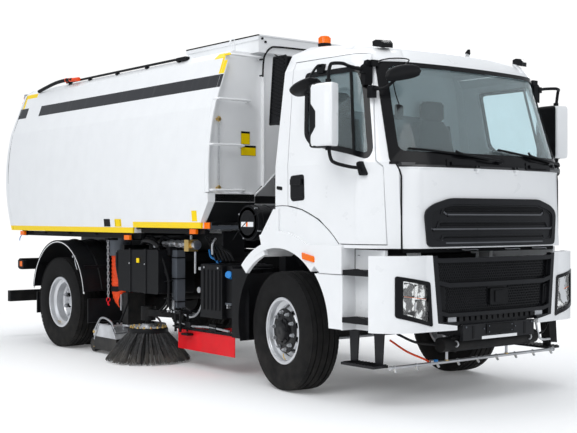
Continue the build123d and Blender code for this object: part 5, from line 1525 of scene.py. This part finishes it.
# rear door: ribs, locks, drain and lamps
door = Form()
for x in (-0.62, 0.0, 0.62):
    rows = []
    for z in [1.50 + 0.10 * k for k in range(16)]:
        y = along(REAR_EDGE, z)
        rows.append([(x - 0.035, y - 0.004, z), (x + 0.035, y - 0.004, z), (x + 0.030, y + 0.022, z),
                     (x - 0.030, y + 0.022, z)])
    door.rings(rows)
for side in (-1, 1):
    door.box(side * 1.02 - 0.05, side * 1.02 + 0.05, 5.540, 5.590, 1.400, 1.480, 1)
    door.cyl((side * 1.02, 5.590, 1.440), (side * 1.02, 5.625, 1.440), 0.022, 1)
door.cyl((0.42, 5.560, 1.470), (0.42, 5.660, 1.470), 0.060, 1)
door.cyl((0.42, 5.655, 1.470), (0.42, 5.668, 1.470), 0.072, 1)
door.tube([(0.42, 5.655, 1.47), (0.42, 5.67, 1.60), (0.30, 5.67, 1.62)], 0.010, 1)
piece("rear_door_ribs", door, ["white", "steel"], "rear_door", bevel=0.003)
tail = Form()
for side in (-1, 1):
    tail.box(side * 0.97 - 0.215, side * 0.97 + 0.215, 5.460, 5.480, 0.885, 1.015, 0)
    for k, m in enumerate((1, 2, 1, 3)):
        c = side * (1.12 - 0.10 * k)
        tail.cyl((c, 5.478, 0.95), (c, 5.492, 0.95), 0.042, m, seg=24)
    tail.box(side * 1.2055 - 0.0015, side * 1.2055 + 0.0015, 5.335, 5.405, 0.920, 0.985, 2)
    tail.box(side * 1.00 - 0.05, side * 1.00 + 0.05, 5.780, 5.786, 0.500, 0.560, 1)
tail.box(-0.262, 0.262, 5.782, 5.787, 0.600, 0.712, 4)
tail.box(-0.275, 0.275, 5.770, 5.783, 0.580, 0.725, 0)
piece("rear_lamps", tail, ["black", "lampred", "amber", "lens", "white"], "chassis",
      bevel=0.003)

# ------------------------------------------------------------------ mudguards
guards = Form()
for side in (-1, 1):
    c = Vector((side * 1.244, 4.253, 0.600))
    arc_line = [c + Vector((0, 0.655 * math.cos(a), 0.655 * math.sin(a)))
                for a in [math.radians(6 + 168 * k / 40) for k in range(41)]]
    guards.tube(arc_line, 0.0085, 0, seg=6, smooth=False)
    for x in (0.80, 1.02):
        line = [Vector((side * x, 4.253 + 0.679 * math.cos(a), 0.600 + 0.679 * math.sin(a)))
                for a in [math.radians(10 + 160 * k / 30) for k in range(31)]]
        guards.tube(line, 0.010, 1, seg=6, smooth=False)
    guards.prism([(3.58, 0.610), (3.60, 0.610), (3.60, 0.330), (3.58, 0.340)], "x", side * 0.62, side * 1.20,
                 1)
    guards.prism([(4.905, 0.620), (4.925, 0.620), (4.925, 0.360), (4.905, 0.360)], "x", side * 0.62,
                 side * 1.20, 1)
guards.tube([(-1.215, 3.86, 1.080), (-1.235, 3.84, 1.060), (-1.245, 3.80, 1.00), (-1.240, 3.77, 0.94)], 0.007,
            2, seg=6)
guards.cyl((-1.20, 3.87, 1.09), (-1.25, 3.87, 1.09), 0.014, 2)
piece("mudguard_trim", guards, ["white", "black", "steel"], "chassis")

# ------------------------------------------------------------------ side gear on the chassis
side_gear = Form()
S = side_gear
S.box(-1.215, -1.195, 1.085, 1.255, 1.438, 1.500, 1)
S.prism([(1.085, 1.440), (1.255, 1.440), (1.275, 1.470), (1.255, 1.500), (1.085, 1.500)], "x", -1.222, -1.206,
        0)
S.box(-1.200, -0.700, 1.130, 1.150, 1.430, 1.470, 1)
S.cyl((-1.06, 1.160, 1.445), (-0.92, 1.160, 1.445), 0.030, 2)
S.cyl((-1.08, 1.160, 1.445), (-1.06, 1.160, 1.445), 0.018, 2)
S.tube([(-0.80, 1.43, 1.612), (-0.80, 1.32, 1.622), (-0.79, 1.20, 1.642)], 0.018, 3)
S.tube([(-0.90, 1.56, 1.22), (-0.92, 1.50, 1.15), (-0.90, 1.44, 1.12), (-0.90, 1.40, 1.08),
        (-0.86, 1.38, 0.98)], 0.011, 4)
S.tube([(-0.88, 1.50, 1.25), (-0.90, 1.42, 1.18), (-0.88, 1.38, 1.10)], 0.009, 4)
S.box(-0.98, -0.72, 1.20, 1.23, 1.14, 1.42, 5)
for k in range(6):
    S.tube([(-0.98, 1.02 + 0.06 * k, 1.12), (-0.99, 1.08 + 0.07 * k, 1.20 + 0.02 * k),
            (-0.95, 1.30 + 0.05 * k, 1.25 + 0.02 * k),
            (-0.80, 1.60, 1.22 + 0.02 * k)], 0.011, 5, seg=8)
S.tube([(-1.00, 1.30, 1.34), (-1.04, 1.30, 1.28), (-1.04, 1.30, 1.18)], 0.012, 2, seg=8)
S.cyl((-1.03, 1.62, 0.98), (-1.03, 1.62, 1.20), 0.012, 2)
S.box(-1.06, -1.02, 1.44, 1.52, 1.02, 1.05, 2)
S.cyl((-1.06, 1.50, 0.82), (-1.07, 1.50, 0.82), 0.030, 2)
S.cyl((-1.125, 0.910, 1.001), (-1.052, 0.946, 0.984), 0.0345, 4, seg=24)
for k in range(10):
    a = math.tau * k / 10
    d = Vector((0.44 * math.sin(a) * 0, math.cos(a), math.sin(a))) * 0.034
    S.cyl(Vector((-1.118, 0.913, 1.0)) + d, Vector((-1.082, 0.931, 0.991)) + d, 0.0035, 4, seg=5)
S.prism([(1.035, 0.560), (1.415, 0.560), (1.415, 0.590), (1.035, 0.590)], "x", -1.108, -0.570, 5)
S.prism([(1.060, 1.040), (1.395, 1.040), (1.395, 1.082), (1.060, 1.082)], "x", -1.112, -1.100, 5)
for y in (1.10, 1.34):
    S.cyl((-1.112, y, 1.056), (-1.118, y, 1.056), 0.010, 2)
for z in (0.64, 0.66):
    S.cyl((-1.110, 0.95, z + 0.04), (-1.07, 0.95, z + 0.04), 0.009, 2)
S.box(-1.075, -1.055, 0.93, 1.03, 0.70, 0.72, 1)
# filter canister: cap rim, clamps, label, mounting band
S.lathe((-1.118, 0.610, 1.500), (-1, 0, 0), [(-0.030, 0.168), (-0.012, 0.168), (-0.010, 0.150),
                                             (0.000, 0.148), (0.000, 0.118),
                                             (-0.005, 0.114), (-0.005, 0.0)], 40, 5)
for x in (-1.05, -0.92, -0.78):
    S.torus((x, 0.610, 1.500), (1, 0, 0), 0.1655, 0.006, 5, 40)
for a in (0.5, 2.2, 3.6, 5.2):
    d = Vector((0, math.cos(a), math.sin(a)))
    S.cyl(Vector((-1.075, 0.61, 1.50)) + d * 0.170, Vector((-1.110, 0.61, 1.50)) + d * 0.166, 0.008, 2, seg=8)
S.box(-1.1225, -1.1185, 0.515, 0.705, 1.462, 1.508, 6)
S.box(-1.1240, -1.1220, 0.600, 0.625, 1.464, 1.506, 0)
S.tube([(-0.70, 0.61, 1.42), (-0.62, 0.60, 1.30), (-0.50, 0.55, 1.10)], 0.055, 5, seg=14)
piece("chassis_side_gear", S, ["amber", "zinc", "steel", "red", "blue", "black", "white"], "chassis",
      bevel=0.0012)

under = Form()
U = under
U.prism([(1.16, 1.700), (1.12, 1.760), (1.03, 1.780), (1.03, 1.700)], "x", -1.20, -0.72)
U.box(-1.18, 1.18, 1.10, 1.20, 1.690, 1.765)
for x in (-1.05, -0.70, 0.70, 1.05):
    U.box(x - 0.03, x + 0.03, 1.20, 2.30, 1.445, 1.475)
U.box(-1.20, -1.14, 1.20, 2.40, 1.385, 1.435)
U.box(-1.16, -1.10, 2.48, 5.40, 1.320, 1.376)
U.box(1.10, 1.16, 1.30, 5.40, 1.320, 1.376)
for y in (2.80, 3.45, 4.10, 4.75):
    U.box(-1.16, 1.16, y - 0.03, y + 0.03, 1.345, 1.381)
piece("hopper_underframe", U, ["frame"], "hopper", bevel=0.003)

post = Form()
P = post
P.box(-1.006, -0.894, 2.004, 2.116, 1.205, 1.222)
for z in (0.66, 0.90, 1.12):
    P.box(-1.008, -0.892, 2.002, 2.118, z, z + 0.012)
P.cyl((-0.985, 1.80, 1.272), (-0.985, 2.26, 1.272), 0.034, 1)
for y in (1.82, 1.90, 2.00, 2.12, 2.24):
    P.lathe((-0.985, y, 1.272), (0, 1, 0), [(0, 0.044), (0.032, 0.044)], 6, 1)
for y, m in ((1.70, 2), (1.755, 2), (1.66, 1)):
    P.cyl((-0.990, y - 0.02, 1.268), (-0.990, y + 0.025, 1.268), 0.048, m, seg=12)
P.box(-1.05, -0.93, 1.72, 1.80, 1.20, 1.32, 2)
P.cyl((-0.99, 1.76, 1.32), (-0.99, 1.76, 1.370), 0.012, 1)
P.box(-1.035, -0.945, 1.745, 1.775, 1.365, 1.380, 0)
P.cyl((-1.05, 1.92, 1.275), (-1.09, 1.92, 1.275), 0.017, 1, seg=6)
P.cyl((-1.05, 2.30, 1.245), (-1.10, 2.30, 1.245), 0.020, 1, seg=6)
hoses = [
    [(-0.985, 2.24, 1.280), (-1.030, 2.33, 1.270), (-1.060, 2.30, 1.160), (-1.055, 2.20, 1.020),
     (-1.040, 2.13, 0.900), (-1.030, 2.12, 0.760),
     (-1.040, 2.16, 0.640), (-1.050, 2.26, 0.560)],
    [(-0.985, 2.20, 1.300), (-1.045, 2.28, 1.310), (-1.085, 2.27, 1.200), (-1.075, 2.18, 1.050),
     (-1.058, 2.10, 0.900), (-1.050, 2.10, 0.740),
     (-1.045, 2.12, 0.620), (-1.070, 2.20, 0.545)],
    [(-0.985, 2.14, 1.310), (-1.040, 2.20, 1.345), (-1.095, 2.22, 1.250), (-1.090, 2.13, 1.080),
     (-1.070, 2.07, 0.900), (-1.065, 2.07, 0.720),
     (-1.060, 2.06, 0.620), (-1.040, 2.02, 0.560)],
]
for line in hoses:
    P.tube(line, 0.0125, 0, seg=10)
for z, y in ((0.88, 2.095), (0.70, 2.10)):
    P.torus((-1.048, y, z), (0, 0.15, 1), 0.040, 0.006, 0, 20)
P.box(-1.020, -1.005, 2.04, 2.08, 0.58, 0.68, 1)
for y in (1.98, 2.03, 2.10):
    P.cyl((-0.99, y, 0.565), (-1.06, y, 0.565), 0.013, 1, seg=6)
for x, y in ((-1.03, 1.90), (-1.03, 1.99), (-0.94, 1.90)):
    P.cyl((x, y, 0.36), (x, y, 0.56), 0.014, 0, seg=10)
P.box(-1.05, -0.90, 1.87, 2.02, 0.545, 0.570)
P.box(-1.05, -0.90, 1.87, 2.02, 0.410, 0.425)
piece("post_hoses", P, ["black", "steel", "brass"], "chassis", bevel=0.0012)

tank = Form()
T = tank
T.box(-1.1610, -1.1500, 2.52, 2.575, 1.060, 1.110, 1)
T.cyl((-0.95, 2.55, 1.19), (-0.95, 2.55, 1.245), 0.055)
T.lathe((-0.95, 2.55, 1.245), (0, 0, 1), [(0, 0.066), (0.018, 0.066), (0.022, 0.058)], 20)
for y in (2.40, 2.72):
    for z in (1.206, 0.742):
        T.box(-1.160, -0.690, y - 0.018, y + 0.018, z - 0.004, z + 0.006)
    T.cyl((-1.158, y, 1.05), (-1.166, y, 1.05), 0.009, 2)
T.box(-1.04, -0.80, 2.10, 2.16, 1.15, 1.24)
T.tube([(-1.10, 2.20, 1.23), (-1.12, 2.30, 1.29), (-1.10, 2.50, 1.30), (-1.05, 2.62, 1.26)], 0.026, seg=12)
T.tube([(-1.00, 2.30, 1.24), (-1.05, 2.42, 1.33), (-1.04, 2.56, 1.33), (-1.00, 2.70, 1.25)], 0.022, seg=12)
T.box(-1.05, -0.62, 3.02, 3.08, 1.18, 1.24)
T.tube([(-1.13, 3.04, 1.16), (-1.14, 3.02, 1.00), (-1.10, 3.00, 0.80), (-1.06, 2.90, 0.72)], 0.016, seg=10)
piece("tank_fittings", T, ["tank", "yellow", "steel"], "chassis", bevel=0.004)

flap_gear = Form()
F = flap_gear
for n in range(7):
    y = 1.08 + 0.155 * n
    F.cyl((-0.957 + 0.0, y, 0.396), (-0.968, y, 0.396), 0.012, 1, seg=6)
F.box(-0.968, -0.958, 1.03, 2.09, 0.382, 0.412)
F.box(-1.02, -0.95, 1.78, 1.90, 0.330, 0.352, 0)
F.tube([(-0.98, 1.10, 0.43), (-0.99, 1.40, 0.445), (-0.98, 1.75, 0.430), (-0.99, 2.02, 0.45)], 0.012, 1,
       seg=8)
F.box(-1.00, -0.90, 1.30, 1.42, 0.41, 0.48)
F.box(-1.00, -0.90, 1.76, 1.86, 0.41, 0.47)
piece("flap_fixings", F, ["black", "steel"], "chassis", bevel=0.001)


# ------------------------------------------------------------------ chain
def chain_places(a, b, pitch):
    a, b = Vector(a), Vector(b)
    n = int((b - a).length / pitch)
    return [(a + (b - a) * (k + 0.5) / n, facing((b - a), math.pi / 2 * (k % 2)), 1.0) for k in range(n)]


link = Form()
loop = []
for k in range(16):
    a = math.tau * k / 16
    loop.append(Vector((math.cos(a) * 0.011, 0, math.sin(a) * 0.011 + (0.011 if math.sin(a) >= 0
                                                                       else -0.011))))
rows = []
for k, p in enumerate(loop):
    t = (loop[(k + 1) % 16] - loop[k - 1]).normalized()
    u = Vector((0, 1, 0))
    v = t.cross(u)
    rows.append([p + (u * math.cos(q) + v * math.sin(q)) * 0.0038 for q in [math.tau * n / 6
                                                                            for n in range(6)]])
link.rings(rows, closed=True, caps=False)
repeat("hanger_chain", link, chain_places((-1.10, 3.30, 1.300), (-1.10, 3.29, 0.640), 0.036), "steel",
       "chassis")
red_link = Form()
red_link.torus((-1.10, 3.290, 0.615), (0, 1, 0), 0.022, 0.006, 0, 20)
red_link.tube([(-1.10, 3.29, 0.60), (-1.10, 3.29, 0.57), (-1.09, 3.29, 0.55)], 0.010)
red_link.box(-1.12, -0.43, 3.27, 3.33, 1.290, 1.312, 1)
piece("chain_hook", red_link, ["red", "frame"], "chassis", bevel=0.001)


# ------------------------------------------------------------------ side brush
BRUSH = Vector((-1.040, 2.520, 0))
plate = Form()
plate.lathe(BRUSH, (0, 0, 1), [(0.300, 0.100), (0.300, 0.190), (0.308, 0.212), (0.322, 0.216), (0.356, 0.207),
                               (0.361, 0.203), (0.361, 0.036),
                               (0.300, 0.036)], 64, 0, closed=True, caps=False)
plate.lathe(BRUSH, (0, 0, 1), [(0.361, 0.036), (0.361, 0.168), (0.3645, 0.170), (0.3665, 0.168),
                               (0.3665, 0.036)], 48, 1, closed=True, caps=False)
plate.lathe(BRUSH, (0, 0, 1), [(0.366, 0.032), (0.366, 0.088), (0.372, 0.090), (0.402, 0.068), (0.405, 0.064),
                               (0.405, 0.032)], 32, 2,
            closed=True, caps=False)
for k in range(8):
    a = math.tau * (k + 0.3) / 8
    c = BRUSH + Vector((0.075 * math.cos(a), 0.075 * math.sin(a), 0.370))
    plate.cyl(c, c + Vector((0, 0, 0.020)), 0.009, 2, seg=6)
piece("brush_plate", plate, ["black", "white", "steel"], "brush", bevel=0.0015,
      stands_for=["side_brush"])
nuts = []
for k in range(16):
    a = math.tau * k / 16
    nuts.append((BRUSH + Vector((0.188 * math.cos(a), 0.188 * math.sin(a), 0.3605)), facing((0, 0, 1), a),
                 0.72))
repeat("brush_nuts", hexnut(0.0155, 0.020), nuts, "brass", "brush")

rng = random.Random(11)
tuft = Form()
for n in range(7):
    a = math.tau * n / 7
    foot = Vector((0.007 * math.cos(a), 0.007 * math.sin(a), 0)) * (1 if n else 0)
    tip = Vector((0.017 * math.cos(a), 0.017 * math.sin(a), 1.0 - 0.02 * (n % 3))) * 1.0
    if n == 0:
        tip = Vector((0, 0, 1.0))
    knee = (foot + tip) / 2 + Vector((0.000, -0.014, 0.0))
    rows = []
    for p, r in ((foot, 0.0045), (knee, 0.0050), (tip, 0.0036)):
        rows.append([p + Vector((math.cos(q) * r, math.sin(q) * r, 0))
                     for q in [math.tau * m / 4 for m in range(4)]])
    tuft.rings(rows)
places = []
for ring_r, foot_z, count, reach in ((0.198, 0.318, 46, 0.449), (0.168, 0.314, 38, 0.405),
                                     (0.136, 0.312, 30, 0.355)):
    for k in range(count):
        a = math.tau * (k + rng.uniform(-0.18, 0.18)) / count
        foot = BRUSH + Vector((ring_r * math.cos(a), ring_r * math.sin(a), foot_z))
        twist = a + rng.uniform(-0.03, 0.05)
        out = reach + rng.uniform(-0.012, 0.004)
        tip = BRUSH + Vector((out * math.cos(twist), out * math.sin(twist), 0.012 + rng.uniform(0, 0.010)))
        d = tip - foot
        places.append((foot, facing(d, rng.uniform(0, 6)), (1, 1, d.length)))
repeat("brush_bristles", tuft, places, "bristle", "brush", angle=60)

# ------------------------------------------------------------------ suction hose and nozzle
HOSE = [Vector((-0.900, 3.360, 1.180))]
for k in range(13):
    HOSE.append(Vector((-0.900, 3.360, 1.10 - 0.030 * k)))
for k in range(1, 9):
    a = math.pi / 2 * k / 8
    HOSE.append(Vector((-0.900, 3.200 + 0.160 * math.cos(a), 0.750 - 0.160 * math.sin(a))))
HOSE.append(Vector((-0.900, 3.165, 0.590)))
HOSE.append(Vector((-0.900, 3.1303, 0.590)))
line = []
for a, b in zip(HOSE, HOSE[1:]):
    n = max(1, round((b - a).length / 0.0075))
    line += [a + (b - a) * k / n for k in range(n)]
line.append(HOSE[-1])
total = sum((b - a).length for a, b in zip(line, line[1:]))
hose = Form()
hose.tube(line, lambda t: 0.098 + 0.007 * abs(math.cos(math.pi * t * total / 0.044)), seg=32, smooth=False)
piece("hose_ribbed", hose, ["hose"], "pickup", angle=50, stands_for=["suction_hose"])

head = Form()
head.cyl((-0.900, 3.220, 0.590), (-0.900, 3.136, 0.590), 0.1095, 0, seg=40)
head.cyl((-0.900, 3.150, 0.590), (-0.900, 3.136, 0.590), 0.1125, 1, seg=40)
head.lathe((-0.900, 3.360, 0.700), (0, 0, 1), [(0.0, 0.108), (0.0, 0.1105), (0.060, 0.1105), (0.060, 0.108)],
           40, 0, closed=True, caps=False)
for side in (-1, 1):
    head.box(-0.900 + side * 0.118 - 0.008, -0.900 + side * 0.118 + 0.008, 3.128, 3.150, 0.50, 0.68, 2)
piece("hose_clamps", head, ["black", "red", "steel"], "pickup", bevel=0.0015)

hood = Form()
N = hood
for y in (3.055, 3.490):
    N.tube([(-1.140, y, 0.205 if y < 3.2 else 0.165), (-0.470, y, 0.205 if y < 3.2 else 0.165)], 0.009, seg=8,
           smooth=False)
N.tube([(-1.155, 3.030, 0.205), (-1.155, 3.130, 0.335), (-1.155, 3.410, 0.335), (-1.155, 3.515, 0.155)],
       0.009, seg=8, smooth=False)
for n in range(9):
    x = -1.11 + 0.078 * n
    N.cyl((x, 3.075, 0.262), (x, 3.063, 0.272), 0.008, 0, seg=6)
N.prism([(3.05, 0.255), (3.10, 0.315), (3.105, 0.330), (3.04, 0.262)], "x", -1.145, -0.455)
for x in (-1.128, -0.502):
    N.tube([(x, 3.10, 0.30), (x, 3.20, 0.380), (x, 3.40, 0.400), (x, 3.55, 0.26)], 0.012, 0)
    N.cyl((x - 0.022, 3.100, 0.318), (x + 0.022, 3.100, 0.318), 0.020, 0)
    N.cyl((x - 0.022, 3.545, 0.235), (x + 0.022, 3.545, 0.235), 0.017, 2)
N.box(-1.10, -1.02, 3.24, 3.30, 0.33, 0.36, 1)
N.box(-0.70, -0.56, 3.18, 3.34, 0.330, 0.344, 1)
N.tube([(-1.00, 3.02, 0.72), (-1.02, 2.99, 0.60), (-1.08, 3.00, 0.45), (-1.11, 3.03, 0.36)], 0.011, 1)
for side in (-1, 1):
    x = -0.815 + side * 0.285
    N.torus((x, 3.590, 0.085), (1, 0, 0), 0.070, 0.010, 1, 24)
    N.cyl((x - 0.021, 3.590, 0.085), (x + 0.021, 3.590, 0.085), 0.030, 2)
N.box(-1.150, -0.450, 3.022, 3.030, 0.018, 0.120, 1)
N.box(-1.150, -0.450, 3.510, 3.518, 0.018, 0.090, 1)
piece("nozzle_fittings", N, ["steel", "black", "brass"], "pickup", bevel=0.0012)


# ------------------------------------------------------------------ light, floor and camera
def area(name, where, target, size, power, color=(1, 1, 1)):
    data = bpy.data.lights.new(name, "AREA")
    data.shape = "RECTANGLE"
    data.size, data.size_y = size
    data.energy = power
    data.color = color
    obj = bpy.data.objects.new(name, data)
    obj.location = where
    obj.rotation_euler = (Vector(target) - Vector(where)).to_track_quat("-Z", "Y").to_euler()
    obj.visible_transmission = False
    bpy.context.scene.collection.objects.link(obj)


area("key_light", (-9.0, -5.0, 9.0), (0, -0.5, 1.2), (7, 7), 560)
area("front_light", (-1.0, -12.0, 5.5), (0, -2.5, 1.4), (6, 5), 150)
area("side_light", (-12.0, 3.5, 4.0), (0, 1.0, 1.8), (6, 4), 90, (0.95, 0.975, 1.0))
area("top_light", (1.0, 2.0, 11.0), (0, 0, 1.0), (9, 9), 520)
area("far_light", (9.0, 3.0, 6.0), (0, 0, 1.2), (6, 6), 200)

world = bpy.data.worlds.new("studio")
bpy.context.scene.world = world
world.use_nodes = True
wt = world.node_tree
wt.nodes.clear()
w_out = wt.nodes.new("ShaderNodeOutputWorld")
w_mix = wt.nodes.new("ShaderNodeMixShader")
w_path = wt.nodes.new("ShaderNodeLightPath")
w_soft = wt.nodes.new("ShaderNodeBackground")
w_white = wt.nodes.new("ShaderNodeBackground")
w_soft.inputs[0].default_value = (0.86, 0.90, 0.95, 1)
w_soft.inputs[1].default_value = 0.62
w_white.inputs[0].default_value = (1, 1, 1, 1)
w_white.inputs[1].default_value = 1.05
w_seen = wt.nodes.new("ShaderNodeMath")
w_seen.operation = "MAXIMUM"
wt.links.new(w_path.outputs["Is Camera Ray"], w_seen.inputs[0])
wt.links.new(w_path.outputs["Is Transmission Ray"], w_seen.inputs[1])
wt.links.new(w_seen.outputs[0], w_mix.inputs[0])
wt.links.new(w_soft.outputs[0], w_mix.inputs[1])
wt.links.new(w_white.outputs[0], w_mix.inputs[2])
wt.links.new(w_mix.outputs[0], w_out.inputs[0])

floor_mesh = bpy.data.meshes.new("floor")
floor_mesh.from_pydata([(-60, -60, -0.002), (60, -60, -0.002), (60, 60, -0.002), (-60, 60, -0.002)], [],
                       [(0, 1, 2, 3)])
floor = bpy.data.objects.new("floor", floor_mesh)
bpy.context.scene.collection.objects.link(floor)
fg = Graph("floor_pale")
fg.set("Base Color", fg.mix(fg.noise(0.7), (0.90, 0.902, 0.905), (0.92, 0.922, 0.925)))
fg.set("Roughness", 0.9)
fg.set("Specular IOR Level", 0.1)
reach = fg.math("SQRT", fg.x * fg.x + fg.y * fg.y, 0.0)
fg.set("Alpha", reach.ramp(7.8, 4.3))
fg.set("Emission Color", (1.0, 1.0, 1.0))
fg.set("Emission Strength", 0.10)
floor_mesh.materials.append(fg.mat)

FOCAL_PX = 1079.55
YAW, PITCH, ROLL = math.radians(38.533), math.radians(0.017), math.radians(0.07)
lens = bpy.data.cameras.new("camera")
lens.sensor_width = 36.0
lens.lens = FOCAL_PX * 36.0 / 577.0
lens.clip_end = 300
camera = bpy.data.objects.new("camera", lens)
camera.location = (-7.128, -9.696, 1.5564)
ahead = Vector((math.sin(YAW) * math.cos(PITCH), math.cos(YAW) * math.cos(PITCH), math.sin(PITCH)))
camera.rotation_euler = (ahead.to_track_quat("-Z",
                                             "Y").to_matrix() @ Matrix.Rotation(ROLL, 3, "Z")).to_euler()
bpy.context.scene.collection.objects.link(camera)
bpy.context.scene.camera = camera
bpy.context.scene.view_settings.view_transform = "Standard"
